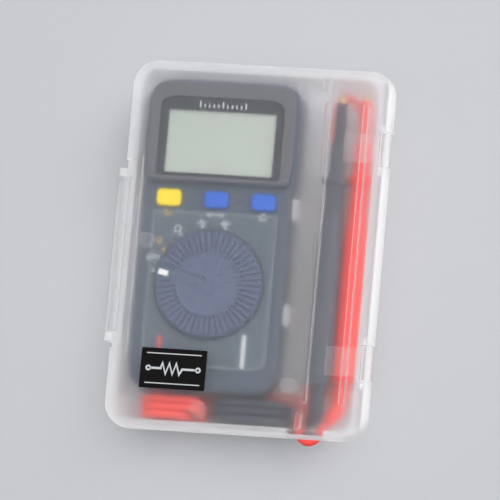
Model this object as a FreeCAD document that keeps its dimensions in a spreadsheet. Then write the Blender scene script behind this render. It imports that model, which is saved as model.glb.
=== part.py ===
import FreeCAD, Part
import math
import os
import re
import Sketcher

# A pocket multimeter with its two captive test leads, put away in a hinged storage case.
# Millimetres. +X points to the case's hinge, +Y to the display end and +Z up. The case lies
# on its base, and the origin is at the bottom centre of the case with its clasp.

SIZES = {
    # case shell
    "case_w": 92.0,            # lid outline, across
    "case_l": 129.0,           # lid outline, along
    "case_h": 25.0,            # table to lid top
    "corner_r": 8.8,           # lid outline corners
    "lid_h": 4.0,              # lid, skirt included
    "lid_wall": 1.4,
    "lid_edge_r": 2.5,
    "lid_gap": 0.1,            # skirt above the base's flange
    "lip_clear": 0.5,          # base lip inside the lid skirt
    "lip_h": 1.5,
    "base_wall": 1.5,
    "base_floor": 1.5,
    "base_draft": 4.0,         # degrees
    "base_edge_r": 2.2,
    "flange_t": 1.6,
    "flange_inset": 0.3,
    "flange_end_r": 5.0,
    "root_depth": 0.3,         # ribs and bosses run this far into their wall
    "overrun": 1.0,            # cuts run this far past an edge
    "full_round": 0.98,        # corner radius over half width at a round end
    # hinge
    "hinge_y": 37.2,           # knuckles, either side of the middle
    "hinge_gap": 12.4,         # opening in the lid's edge
    "hinge_r": 1.7,
    "hinge_pin_r": 0.9,
    "hinge_cover": 0.2,        # knuckle inside the lid outline
    "hinge_drop": 1.4,         # axis below the lid plate
    "hinge_boss_l": 2.6,
    "swing_clear": 0.8,        # lid edge past the base wall when open
    "knuckle_web": 2.6,
    "knuckle_mouth": 1.44,     # slot that the lid's pin snaps through
    "pin_clear": 0.08,
    "side_clear": 0.3,
    # clasp
    "clasp_y": -4.0,
    "clasp_l": 54.0,
    "clasp_overhang": 2.7,     # ears past the lid outline
    "clasp_gap": 0.3,
    "clasp_t": 1.5,
    "clasp_pivot_r": 1.4,
    "clasp_pin_r": 0.8,
    "clasp_pin_l": 2.0,
    "clasp_pin_root": 1.0,
    "clasp_web": 0.8,
    "clasp_edge_r": 0.4,
    "clasp_top_r": 0.7,
    "clasp_drop": 3.8,         # pivot below the parting line
    "clasp_ridge": 0.3,
    "clasp_ridge_w": 0.6,
    "clasp_ridge_x": 1.25,     # outer ridge from the clasp's face
    "clasp_ridge_pitch": 1.45,
    "ear_l": 2.9,
    "ear_proud": 0.3,
    "ear_h": 5.4,
    "ear_r": 0.6,
    "notch_l": 66.0,
    "notch_depth": 4.4,
    "notch_r": 1.5,
    "ledge_t": 1.5,
    "ledge_lap": 0.2,
    # ribs and marks of the lid
    "rib_left_x": 23.3,
    "rib_right_x": 36.5,
    "rib_w": 1.9,
    "rib_l": 105.0,
    "rib_depth": 1.4,
    "bead_h": 0.5,
    "bead_edge_r": 0.25,
    "gusset_x": 22.0,
    "gusset_l": 6.0,
    "gusset_depth": 2.0,
    "mark_r": 2.8,
    "mark_depth": 0.45,
    "mark_a_x": -39.3,
    "mark_a_y": -56.1,
    "mark_b_x": -13.0,
    "mark_b_y": -56.8,
    "mark_c_x": 17.5,
    "mark_c_y": -46.7,
    "mark_d_x": -36.2,
    "mark_d_y": 0.8,
    "core_l": 16.2,
    "core_w": 10.0,
    "core_gap": 5.8,           # core mark short of the lid's edge
    "label_w": 22.9,
    "label_l": 14.0,
    "label_in": 23.25,         # label's middle from the clasp edge of the lid
    "label_up": 21.0,          # and from its near end
    "label_t": 0.15,
    "label_r": 0.4,
    # meter supports, posts and probe cradles of the base
    "lead_room": 5.8,          # floor to the meter's back
    "support_t": 1.4,
    "support_up_y": 36.8,      # from the meter's middle
    "support_mid_y": 6.4,
    "support_low_y": -25.6,
    "support_l": 44.0,
    "stud_r": 5.0,
    "stud_x": 14.0,            # studs under the meter's near end, either side of its middle
    "stud_y": -42.4,
    "post_t": 1.5,
    "post_l": 7.4,
    "post_h": 17.5,
    "post_gap": 0.4,
    "post_r": 0.6,
    "post_up_y": 15.3,
    "post_low_y": -21.5,
    "cradle_t": 1.6,
    "cradle_up_y": -8.0,
    "cradle_low_y": -33.0,
    "cradle_room": 4.6,        # lead space below the cradles
    "cradle_clear": 0.1,
    "cradle_leg": 1.6,
    "cradle_reach": 2.0,       # plate past the black probe
    "cradle_wall_gap": 0.2,
    "cradle_rise": -1.5,       # horn above the black probe's axis
    "cradle_corner_r": 0.8,
    "cradle_tip_r": 0.4,
    "exit_x": 24.4,            # lead exit in the near end wall
    "exit_w": 13.0,
    "exit_depth": 8.5,
    "exit_r": 2.0,
    # meter housing
    "meter_w": 52.4,
    "head_w": 54.4,
    "meter_l": 109.0,
    "meter_gap_x": 1.6,
    "meter_gap_y": 2.2,
    "meter_split": 5.5,
    "meter_face": 12.2,
    "head_rise": 3.1,
    "head_low_y": 18.0,
    "head_slope": 7.0,
    "head_step": 1.2,
    "head_edge_r": 1.4,
    "head_foot_r": 2.0,
    "head_shoulder_r": 3.0,
    "meter_corner_r": 8.0,
    "meter_edge_r": 2.5,
    "shell_wall": 1.6,
    "boss_r": 2.6,
    "screw_r": 0.9,
    "screw_head_r": 1.9,
    "screw_head_h": 1.3,
    "screw_head_clear": 0.1,
    "screw_grip": 2.0,         # shell under a case screw's head
    "slot_l": 2.3,
    "slot_w": 0.5,
    "bore_cap": 0.8,           # shell left above a screw's bore
    "bore_spare": 0.2,         # bore past the screw's end
    "boss_x": 20.6,
    "boss_up_y": 49.4,
    "boss_low_y": -46.0,
    # display
    "window_w": 37.8,
    "window_l": 22.0,
    "window_y": 32.2,
    "window_r": 0.6,
    "lens_w": 43.4,
    "lens_up": 15.6,
    "lens_low": 12.2,
    "lens_t": 1.0,
    "lens_arch": 2.0,
    "lens_arch_run": 4.0,
    "lens_arch_r": 4.0,
    "lens_shoulder_r": 2.5,
    "lens_foot_r": 1.2,
    "lens_edge_r": 0.25,
    "lens_clear": 0.1,
    "lens_ledge": 0.7,
    "lcd_w": 44.4,
    "lcd_l": 24.6,
    "lcd_t": 1.8,
    "frame_wall": 0.8,
    "frame_clear": 0.1,
    "frame_slack": 0.2,
    "frame_r": 0.4,
    "frame_rest": 1.2,
    "zebra_t": 1.5,
    "zebra_l": 38.0,
    # face panel
    "panel_w": 44.7,
    "panel_up_y": 8.6,
    "panel_low_y": -46.6,
    "panel_t": 0.5,
    "panel_proud": 0.1,
    "panel_clear": 0.1,
    "panel_up_r": 1.2,
    "panel_low_r": 5.0,
    # dial
    "dial_y": -17.2,
    "dial_r": 18.9,
    "dial_top": 2.6,
    "dial_gap": 0.5,
    "dial_well": 0.5,
    "dial_disc_r": 10.4,
    "dial_dish": 0.35,
    "dial_flare": 0.4,
    "dial_bevel": 0.9,
    "dial_bevel_h": 1.2,
    "dial_edge_r": 0.3,
    "dial_step": 0.5,          # slope round the flat disc
    "dial_land": 0.9,          # disc to groove ends
    "dial_grooves": 48,
    "dial_groove_w": 0.9,
    "dial_groove_depth": 0.7,
    "hub_r": 5.0,
    "hub_clear": 0.08,
    "rest_angle": 168.75,
    "pointer_w": 4.4,
    "pointer_depth": 0.5,
    "pointer_in": 1.6,
    "marker_l": 3.3,
    "marker_w": 1.9,
    "marker_r": 16.4,
    "rotor_r": 14.0,
    "rotor_t": 1.4,
    "rotor_gap": 0.8,
    "wiper_w": 1.6,
    "wiper_t": 0.25,
    "wiper_gap": 0.12,
    "wiper_count": 3,
    "wiper_hub_gap": 1.2,
    "wiper_rim_gap": 0.6,
    "detent_w": 2.0,
    "detent_t": 0.3,
    "detent_rim": 1.0,
    # buttons
    "button_w": 8.6,
    "button_l": 5.9,
    "button_pitch": 16.65,
    "button_y": 12.5,
    "button_top": 1.5,
    "button_r": 1.7,
    "button_clear": 0.2,
    "button_lip": 0.9,
    "button_lip_t": 0.8,
    "button_travel": 0.6,
    "button_edge_r": 0.7,
    "dome_r": 3.0,
    "dome_top_r": 2.1,
    "dome_gap": 0.1,
    # circuit board and what it carries
    "board_gap": 1.0,
    "board_t": 1.6,
    "board_under": 6.0,
    "board_boss_r": 2.0,
    "board_boss_x": 21.0,
    "board_boss_y": 2.0,
    "board_clear": 0.5,        # board round the screw bosses
    "chip_w": 9.0,
    "chip_t": 1.3,
    "chip_r": 0.3,
    "buzzer_r": 9.0,
    "buzzer_t": 0.6,
    "buzzer_y": -23.2,
    "cell_r": 10.0,
    "cell_t": 3.2,
    "cell_y": 17.0,
    "cell_clear": 0.3,
    "cell_lift": 0.1,
    "cell_edge_r": 0.4,
    "ring_lift": 0.4,
    "holder_wall": 1.4,
    "contact_t": 0.3,
    "minus_w": 6.0,
    "minus_reach": 5.0,
    "minus_foot": 1.0,
    "minus_foot_y": 3.0,
    "minus_r": 0.8,
    "plus_w": 8.0,
    "plus_lift": 0.6,
    "door_w": 26.0,
    "door_l": 34.0,
    "door_clear": 0.12,
    "door_step": 1.4,
    "door_r": 2.0,
    "plug_r": 1.2,
    "door_screw_y": -14.0,     # from the cell's middle
    "door_head_h": 0.5,
    "door_boss_r": 2.2,
    "door_boss_h": 3.0,
    "ptc_r": 3.5,
    "ptc_t": 3.4,
    "ptc_h": 2.6,
    "ptc_edge_r": 1.6,
    "parts_row_y": -41.0,
    "trimmer_w": 5.0,
    "trimmer_h": 2.2,
    "trimmer_edge_r": 0.5,
    "trimmer_slot_l": 3.3,
    "trimmer_slot_w": 0.6,
    "trimmer_slot_depth": 0.5,
    # lead glands
    "gland_x": 14.8,
    "gland_r": 2.6,
    "gland_flange_r": 3.5,
    "gland_flange_t": 1.2,
    "gland_out": 1.2,
    "gland_neck": 0.6,         # rubber round the lead at the gland's end
    "gland_collar": 0.4,
    "gland_edge_r": 0.3,
    # probes
    "probe_r": 4.3,
    "probe_l": 72.0,
    "probe_taper_l": 24.5,
    "probe_waist_r": 3.5,
    "probe_butt_in": 0.6,
    "probe_butt_l": 2.0,
    "probe_butt_r": 0.4,
    "guard_r": 4.7,
    "guard_t": 2.0,
    "guard_edge_r": 0.6,
    "guard_slope": 0.4,
    "nose_r": 2.85,
    "nose_l": 12.5,
    "sleeve_r": 1.9,
    "sleeve_l": 14.2,
    "sleeve_edge_r": 0.2,
    "tip_r": 1.0,
    "tip_l": 4.2,
    "tip_point_r": 0.15,
    "ring_depth": 0.4,
    "ring_pitch": 2.4,
    "ring_start": 1.4,         # first ring from the guard
    "ring_land": 0.48,         # plain stretch between rings, either side
    "ring_slope": 0.48,
    "boot_r": 2.6,
    "red_wall_gap": 1.2,
    "probe_dx": 7.7,
    "probe_dz": 4.6,
    "probe_top_gap": 2.5,      # black probe's guard below the lid plate
    "black_butt_y": -45.0,
    "red_butt_y": -43.0,
    # leads
    "lead_r": 1.3,
    "coil_h": 18.0,            # the coils stand on edge between the meter and the near end wall
    "coil_near": 51.5,         # their far side, from the case's middle
    "coil_l": 8.1,
    "coil_edge_r": 1.1,
    "red_coil_x": -23.9,
    "red_coil_w": 24.0,
    "red_coil_t": 2.7,
    "black_coil_x": 3.6,
    "black_coil_w": 29.6,
    "black_coil_t": 5.4,
    "coil_lift": 0.2,
}

doc = FreeCAD.newDocument("multimeter_in_case")
sheet = doc.addObject("Spreadsheet::Sheet", "dims")
for row, (name, number) in enumerate(SIZES.items(), start=1):
    sheet.set("A%d" % row, name)
    sheet.set("B%d" % row, str(number))
    sheet.setAlias("B%d" % row, name)
doc.recompute()

PIECES = []


# Formulas over the sheet

def full(text):
    """Point each size name in a formula at the sheet."""
    def named(found):
        word = found.group(0)
        return "dims." + word if word in SIZES else word
    return re.sub(r"[a-z]\w*", named, str(text))


def size(text):
    """The present value of a formula."""
    return float(sheet.evalExpression(str(text)))


CASE_X = "(clasp_overhang / 2)"
PARTING = "(case_h - lid_h)"
LEFT = "(-case_w / 2)"
RIGHT = "(case_w / 2)"
END = "(case_l / 2)"
OVERLAP = "(lid_wall + lip_clear)"
HINGE_X = f"({RIGHT} - hinge_r - hinge_cover)"
HINGE_Z = "(case_h - lid_wall - hinge_drop)"
TRAY_L = f"({LEFT} + {OVERLAP})"
TRAY_R = f"({RIGHT} - 2 * (hinge_r + hinge_cover) - swing_clear)"
TRAY_E = f"({END} - {OVERLAP})"
TRAY_CORNER = f"(corner_r - {OVERLAP})"
LID_UNDER = "(case_h - lid_wall)"
NOTCH_X = f"({LEFT} + notch_depth)"
NOTCH_LO = "(clasp_y - notch_l / 2)"
NOTCH_HI = "(clasp_y + notch_l / 2)"
LEDGE_X = f"({TRAY_L} - ledge_lap)"
EAR_X = f"({LEFT} - clasp_overhang)"
CLASP_OUT = f"({EAR_X} + ear_proud)"
CLASP_IN = f"({LEDGE_X} - clasp_gap)"
PIVOT_X = f"({CLASP_OUT} + clasp_pivot_r)"
PIVOT_Z = f"({PARTING} - clasp_drop)"
HOOK_Z = f"({PARTING} + side_clear)"

METER_X = f"({TRAY_L} + base_wall + meter_gap_x + head_w / 2)"
METER_Y = f"({TRAY_E} - base_wall - meter_gap_y - meter_l / 2)"
METER_Z = "(base_floor + lead_room)"
HEAD_Z = "(meter_face + head_rise)"
UNDER_FACE = "(meter_face - shell_wall)"
BOARD_TOP = "(board_under + board_t)"
LCD_TOP = f"({HEAD_Z} - lens_t - lens_ledge - frame_clear)"
LCD_UNDER = f"({LCD_TOP} - lcd_t)"
PANEL_FLOOR = "(meter_face + panel_proud - panel_t)"

RED_X = f"({TRAY_R} - base_wall - red_wall_gap - probe_r)"
BLACK_X = f"({RED_X} - probe_dx)"
BLACK_Z = f"({LID_UNDER} - probe_top_gap - guard_r)"
RED_Z = f"({BLACK_Z} - probe_dz)"


# Sketches and features

def piece(label, x="0", y="0", z="0"):
    """A new sub-part, placed in the object's frame."""
    body = doc.addObject("PartDesign::Body", label)
    body.Label = label
    body.AllowCompound = True
    for axis, formula in zip("xyz", (x, y, z)):
        body.setExpression(".Placement.Base." + axis, full(formula))
    PIECES.append(body)
    return body


def new_sketch(body, name, plane, level):
    """A sketch on one of the body's own planes, moved to a level along its axis."""
    sketch = body.newObject("Sketcher::SketchObject", name)
    support = [each for each in body.Origin.OriginFeatures if each.Role == plane + "_Plane"][0]
    sketch.AttachmentSupport = [(support, "")]
    sketch.MapMode = "FlatFace"
    sign = "-" if plane == "XZ" else ""
    sketch.setExpression(".AttachmentOffset.Base.z", full(f"{sign}({level})"))
    return sketch


def rect(x0, y0, x1, y1, radius="0"):
    """Corners of a rectangle, all rounded alike."""
    return [(x0, y0, radius), (x1, y0, radius), (x1, y1, radius), (x0, y1, radius)]


def corner_arc(before, corner, after, radius):
    """Ends and middle of the arc that rounds a corner."""
    back = (before - corner).normalize()
    ahead = (after - corner).normalize()
    half = math.acos(max(-1.0, min(1.0, back.dot(ahead)))) / 2
    reach = radius / math.tan(half)
    centre = corner + (back + ahead).normalize() * (radius / math.sin(half))
    middle = centre + (corner - centre).normalize() * radius
    return corner + back * reach, middle, corner + ahead * reach


def draw_outline(sketch, corners):
    """Draw a closed outline whose corners (x, y, radius) are bound to the sheet."""
    points = [FreeCAD.Vector(size(x), size(y), 0) for x, y, radius in corners]
    radii = [size(radius) for x, y, radius in corners]
    count = len(points)
    arcs = [corner_arc(points[i - 1], points[i], points[(i + 1) % count], radii[i]) if radii[i] > 0
            else (points[i], points[i], points[i]) for i in range(count)]
    guides = [sketch.addGeometry(Part.LineSegment(points[i], points[(i + 1) % count]), True)
              for i in range(count)]
    lines = [sketch.addGeometry(Part.LineSegment(arcs[i][2], arcs[(i + 1) % count][0]))
             for i in range(count)]
    rules = []
    bound = []
    for i in range(count):
        after = (i + 1) % count
        rules.append(Sketcher.Constraint("Coincident", guides[i], 2, guides[after], 1))
        start = "PointOnObject" if radii[i] > 0 else "Coincident"
        end = "PointOnObject" if radii[after] > 0 else "Coincident"
        if start == "Coincident":
            rules.append(Sketcher.Constraint(start, lines[i], 1, guides[i], 1))
        else:
            rules.append(Sketcher.Constraint(start, lines[i], 1, guides[i]))
        if end == "Coincident":
            rules.append(Sketcher.Constraint(end, lines[i], 2, guides[i], 2))
        else:
            rules.append(Sketcher.Constraint(end, lines[i], 2, guides[i]))
    for i in range(count):
        bound.append((len(rules), corners[i][0]))
        rules.append(Sketcher.Constraint("DistanceX", -1, 1, guides[i], 1, points[i].x))
        bound.append((len(rules), corners[i][1]))
        rules.append(Sketcher.Constraint("DistanceY", -1, 1, guides[i], 1, points[i].y))
        if radii[i] > 0:
            inward = (points[i] - points[i - 1]).cross(points[(i + 1) % count] - points[i]).z > 0
            arc = sketch.addGeometry(Part.Arc(*(arcs[i] if inward else reversed(arcs[i]))))
            first, last = (1, 2) if inward else (2, 1)
            rules.append(Sketcher.Constraint("Tangent", lines[i - 1], 2, arc, first))
            rules.append(Sketcher.Constraint("Tangent", arc, last, lines[i], 1))
            bound.append((len(rules), corners[i][2]))
            rules.append(Sketcher.Constraint("Radius", arc, radii[i]))
    add_rules(sketch, rules, bound)


def draw_circle(sketch, x, y, radius):
    """Draw a circle whose centre and radius are bound to the sheet."""
    centre = FreeCAD.Vector(size(x), size(y), 0)
    circle = sketch.addGeometry(Part.Circle(centre, FreeCAD.Vector(0, 0, 1), size(radius)))
    rules = [
        Sketcher.Constraint("DistanceX", -1, 1, circle, 3, centre.x),
        Sketcher.Constraint("DistanceY", -1, 1, circle, 3, centre.y),
        Sketcher.Constraint("Radius", circle, size(radius)),
    ]
    add_rules(sketch, rules, list(enumerate((x, y, radius))))


def add_rules(sketch, rules, bound):
    """Add constraints and bind the listed ones to their formulas."""
    first = sketch.ConstraintCount
    sketch.addConstraint(rules)
    for index, formula in bound:
        sketch.setExpression(f"Constraints[{first + index}]", full(formula))


def draw(sketch, loops):
    """Draw outlines (lists of corners) and circles (tuples)."""
    for loop in loops:
        if isinstance(loop, tuple):
            draw_circle(sketch, *loop)
        else:
            draw_outline(sketch, loop)


def solid(body, name, plane, low, high, loops):
    """Pad outlines from one level to another along the plane's axis."""
    sketch = new_sketch(body, name + "_outline", plane, low)
    draw(sketch, loops)
    pad = body.newObject("PartDesign::Pad", name)
    pad.Profile = sketch
    pad.Reversed = plane == "XZ"
    pad.setExpression("Length", full(f"{high} - ({low})"))
    doc.recompute()
    return pad


def cut(body, name, plane, low, high, loops):
    """Cut outlines away between two levels along the plane's axis."""
    before = body.Tip.Shape.Volume
    sketch = new_sketch(body, name + "_outline", plane, low if plane == "XZ" else high)
    draw(sketch, loops)
    pocket = body.newObject("PartDesign::Pocket", name)
    pocket.Profile = sketch
    pocket.setExpression("Length", full(f"{high} - ({low})"))
    doc.recompute()
    if not pocket.Shape.Volume < before - 1e-4:
        raise RuntimeError(name + " cuts nothing")
    return pocket


def turned(body, name, plane, loops, axis="V_Axis"):
    """Turn half-outlines about a sketch axis into round solids."""
    sketch = new_sketch(body, name + "_outline", plane, "0")
    draw(sketch, loops)
    turn = body.newObject("PartDesign::Revolution", name)
    turn.Profile = sketch
    turn.ReferenceAxis = (sketch, [axis])
    turn.Angle = 360
    doc.recompute()
    return turn


def round_edges(body, name, radius, chosen):
    """Fillet the edges that the test picks."""
    base = body.Tip
    names = [f"Edge{i}" for i, edge in enumerate(base.Shape.Edges, start=1) if chosen(edge)]
    fillet = body.newObject("PartDesign::Fillet", name)
    fillet.Base = (base, names)
    fillet.setExpression("Radius", full(radius))
    doc.recompute()
    return fillet


def at_level(formula):
    """A test for edges that lie flat at one height."""
    level = size(formula)

    def test(edge):
        box = edge.BoundBox
        return abs(box.ZMin - level) < 1e-4 and abs(box.ZMax - level) < 1e-4
    return test


def polar(body, name, feature, sketch, copies):
    """Repeat a feature round its sketch's normal."""
    pattern = body.newObject("PartDesign::PolarPattern", name)
    pattern.Originals = [feature]
    pattern.Axis = (sketch, ["N_Axis"])
    pattern.Angle = 360
    pattern.setExpression("Occurrences", full(copies))
    body.Tip = pattern
    doc.recompute()
    return pattern


# Case base: a drafted tray with a rim flange, a lip for the lid, hinge knuckles, clasp ears,
# supports for the meter, posts beside it and two cradles for the probes.

base = piece("case_base", CASE_X)


def tray_outline(inset="0"):
    """Outline of the tray at the parting line, moved inwards."""
    end_y = f"({TRAY_E} - {inset})"
    return rect(f"{TRAY_L} + {inset}", f"-{end_y}", f"{TRAY_R} - {inset}", end_y, f"{TRAY_CORNER} - {inset}")


tray_sketch = new_sketch(base, "tray_outline", "XY", PARTING)
draw(tray_sketch, [tray_outline()])
tray = base.newObject("PartDesign::Pad", "tray")
tray.Profile = tray_sketch
tray.Reversed = True
tray.setExpression("Length", full(PARTING))
tray.setExpression("TaperAngle", full("-base_draft"))
doc.recompute()
round_edges(base, "tray_edge", "base_edge_r", at_level("0"))

flange_l = f"{LEFT} + flange_inset"
flange_e = f"({END} - flange_inset)"
flange_corner = "corner_r - flange_inset"
solid(base, "flange", "XY", f"{PARTING} - flange_t", PARTING, [[
    (flange_l, f"-{flange_e}", flange_corner), (TRAY_R, f"-{flange_e}", "flange_end_r"),
    (TRAY_R, flange_e, "flange_end_r"), (flange_l, flange_e, flange_corner)]])
solid(base, "lip", "XY", PARTING, f"{PARTING} + lip_h", [tray_outline()])
cut(base, "lip_inside", "XY", PARTING, f"{PARTING} + lip_h", [tray_outline("base_wall")])

cavity_sketch = new_sketch(base, "cavity_outline", "XY", PARTING)
draw(cavity_sketch, [tray_outline("base_wall")])
cavity = base.newObject("PartDesign::Pocket", "cavity")
cavity.Profile = cavity_sketch
cavity.setExpression("Length", full(f"{PARTING} - base_floor"))
cavity.setExpression("TaperAngle", full("-base_draft"))
doc.recompute()

clear_lo = f"{NOTCH_LO} - lid_wall - side_clear"
clear_hi = f"{NOTCH_HI} + lid_wall + side_clear"
cut(base, "lip_clasp_gap", "XY", PARTING, f"{PARTING} + lip_h",
    [rect(LEFT, clear_lo, f"{TRAY_L} + base_wall", clear_hi)])
cut(base, "lip_hinge_gap", "XY", PARTING, f"{PARTING} + lip_h",
    [rect(f"{TRAY_R} - base_wall - corner_r / 2", f"-{END}", RIGHT, END)])
seat_lo = "clasp_y - clasp_l / 2 - side_clear"
seat_hi = "clasp_y + clasp_l / 2 + side_clear"
cut(base, "flange_clasp_gap", "XY", f"{PARTING} - flange_t", PARTING,
    [rect(f"{LEFT} - overrun", seat_lo, TRAY_L, seat_hi)])

wall_inside = f"({TRAY_L} + base_wall)"
ear = [(wall_inside, f"{PARTING} - ear_h", "0"), (EAR_X, f"{PARTING} - ear_h", "clasp_pivot_r"),
       (EAR_X, PARTING, "ear_r"), (wall_inside, PARTING, "0")]
solid(base, "ear_low", "XZ", f"{seat_lo} - ear_l", seat_lo, [ear])
solid(base, "ear_high", "XZ", seat_hi, f"{seat_hi} + ear_l", [ear])
cut(base, "ear_bores", "XZ", f"{seat_lo} - ear_l", f"{seat_hi} + ear_l",
    [(PIVOT_X, PIVOT_Z, "clasp_pin_r + pin_clear")])

for side, middle in (("near", "-hinge_y"), ("far", "hinge_y")):
    low = f"{middle} - hinge_gap / 2 + side_clear"
    high = f"{middle} + hinge_gap / 2 - side_clear"
    root = f"({TRAY_R} - base_wall / 2)"
    solid(base, f"knuckle_arm_{side}", "XZ", low, high, [[
        (root, f"{PARTING} - knuckle_web", "0"), (HINGE_X, f"{HINGE_Z} - hinge_r", "0"),
        (HINGE_X, HINGE_Z, "0"), (root, PARTING, "0")]])
    solid(base, f"knuckle_{side}", "XZ", low, high, [(HINGE_X, HINGE_Z, "hinge_r")])
    cut(base, f"knuckle_bore_{side}", "XZ", low, high, [(HINGE_X, HINGE_Z, "hinge_pin_r + pin_clear")])
    cut(base, f"knuckle_mouth_{side}", "XZ", low, high, [
        rect(HINGE_X, f"{HINGE_Z} - knuckle_mouth / 2", RIGHT, f"{HINGE_Z} + knuckle_mouth / 2")])

exit_l = "(exit_x - exit_w / 2)"
exit_r = "(exit_x + exit_w / 2)"
exit_floor = f"({PARTING} - exit_depth)"
exit_top = f"({PARTING} + lip_h + overrun)"
cut(base, "lead_exit", "XZ", f"-{END} - overrun", f"-{TRAY_E} + base_wall + 2 * overrun", [[
    (exit_l, exit_floor, "exit_r"), (exit_r, exit_floor, "exit_r"),
    (exit_r, exit_top, "0"), (exit_l, exit_top, "0")]])

sunk = "(base_floor - root_depth)"
supports = [rect(f"{METER_X} - support_l / 2", f"{METER_Y} + {y} - support_t / 2",
                 f"{METER_X} + support_l / 2", f"{METER_Y} + {y} + support_t / 2")
            for y in ("support_up_y", "support_mid_y", "support_low_y")]
solid(base, "meter_supports", "XY", sunk, METER_Z, supports)
solid(base, "studs", "XY", sunk, METER_Z,
      [(f"{METER_X} {side} stud_x", f"{METER_Y} + stud_y", "stud_r") for side in "-+"])
post_x = f"({METER_X} + meter_w / 2 + post_gap)"
solid(base, "posts", "XY", sunk, "base_floor + post_h",
      [rect(post_x, f"{y} - post_l / 2", f"{post_x} + post_t", f"{y} + post_l / 2", "post_r")
       for y in ("post_up_y", "post_low_y")])

saddle_r = "(probe_r + cradle_clear)"
cradle_under = "(base_floor + cradle_room)"
cradle_l = f"({BLACK_X} - probe_r - cradle_reach)"
cradle_r = f"({TRAY_R} - base_wall - cradle_wall_gap)"
black_low = f"({BLACK_Z} - {saddle_r})"
red_vee = f"({RED_Z} - {saddle_r} * sqrt(2))"
black_turn = f"({BLACK_X} - {saddle_r} * (sqrt(2) - 1))"
cradle_top = f"({BLACK_Z} + cradle_rise)"
cradle = [
    (cradle_l, sunk, "0"), (f"{cradle_l} + cradle_leg", sunk, "0"),
    (f"{cradle_l} + cradle_leg", cradle_under, "cradle_corner_r"), (cradle_r, cradle_under, "0"),
    (cradle_r, f"{red_vee} + {cradle_r} - {RED_X}", "0"), (RED_X, red_vee, saddle_r),
    (f"{RED_X} - ({black_low} - {red_vee})", black_low, "0"), (black_turn, black_low, saddle_r),
    (f"{black_turn} - ({cradle_top} - {black_low})", cradle_top, "cradle_tip_r"),
    (cradle_l, cradle_top, "cradle_corner_r")]
for name, y in (("cradle_up", "cradle_up_y"), ("cradle_low", "cradle_low_y")):
    solid(base, name, "XZ", f"{y} - cradle_t / 2", f"{y} + cradle_t / 2", [cradle])


# Case lid: a shallow plate with a skirt, open at the clasp and at the two knuckles.

lid = piece("case_lid", CASE_X)
skirt_z = f"({PARTING} + lid_gap)"
solid(lid, "plate", "XY", skirt_z, "case_h", [rect(LEFT, f"-{END}", RIGHT, END, "corner_r")])
round_edges(lid, "plate_edge", "lid_edge_r", at_level("case_h"))
ledge_top = f"({skirt_z} + ledge_t)"
cut(lid, "clasp_mouth", "XY", skirt_z, "case_h", [rect(f"{LEFT} - overrun", NOTCH_LO, LEDGE_X, NOTCH_HI)])
cut(lid, "clasp_notch", "XY", ledge_top, "case_h", [[
    (f"{LEFT} - overrun", NOTCH_LO, "0"), (NOTCH_X, NOTCH_LO, "notch_r"),
    (NOTCH_X, NOTCH_HI, "notch_r"), (f"{LEFT} - overrun", NOTCH_HI, "0")]])
in_x = f"({RIGHT} - lid_wall)"
in_y = f"({END} - lid_wall)"
in_r = "(corner_r - lid_wall)"
cut(lid, "inside", "XY", skirt_z, LID_UNDER, [[
    (f"-{in_x}", f"-{in_y}", in_r), (in_x, f"-{in_y}", in_r), (in_x, in_y, in_r), (f"-{in_x}", in_y, in_r),
    (f"-{in_x}", f"{NOTCH_HI} + lid_wall", "0"), (f"{NOTCH_X} + lid_wall", f"{NOTCH_HI} + lid_wall", "0"),
    (f"{NOTCH_X} + lid_wall", f"{NOTCH_LO} - lid_wall", "0"), (f"-{in_x}", f"{NOTCH_LO} - lid_wall", "0")]])
cut(lid, "hinge_gaps", "XY", skirt_z, "case_h",
    [rect(f"{HINGE_X} - hinge_r - side_clear", f"{y} - hinge_gap / 2",
          f"{RIGHT} + overrun", f"{y} + hinge_gap / 2")
     for y in ("-hinge_y", "hinge_y")])
boss_foot = f"({HINGE_Z} - hinge_r)"
boss_root = f"({LID_UNDER} + root_depth)"
boss = [(f"{HINGE_X} - hinge_r", boss_root, "0"), (f"{HINGE_X} - hinge_r", boss_foot, "hinge_r * full_round"),
        (f"{HINGE_X} + hinge_r", boss_foot, "hinge_r * full_round"),
        (f"{HINGE_X} + hinge_r", f"{HINGE_Z} + hinge_r / 3", "0"), (HINGE_X, boss_root, "0")]
for side, middle in (("near", "-hinge_y"), ("far", "hinge_y")):
    low = f"({middle} - hinge_gap / 2)"
    high = f"({middle} + hinge_gap / 2)"
    solid(lid, f"boss_low_{side}", "XZ", f"{low} - hinge_boss_l", low, [boss])
    solid(lid, f"boss_high_{side}", "XZ", high, f"{high} + hinge_boss_l", [boss])
    solid(lid, f"hinge_pin_{side}", "XZ", f"{low} - hinge_boss_l / 2", f"{high} + hinge_boss_l / 2",
          [(HINGE_X, HINGE_Z, "hinge_pin_r")])


def bead(x, y0, y1):
    """A round-ended strip along the case."""
    return rect(f"{x} - rib_w / 2", y0, f"{x} + rib_w / 2", y1, "rib_w / 2 * full_round")


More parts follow.
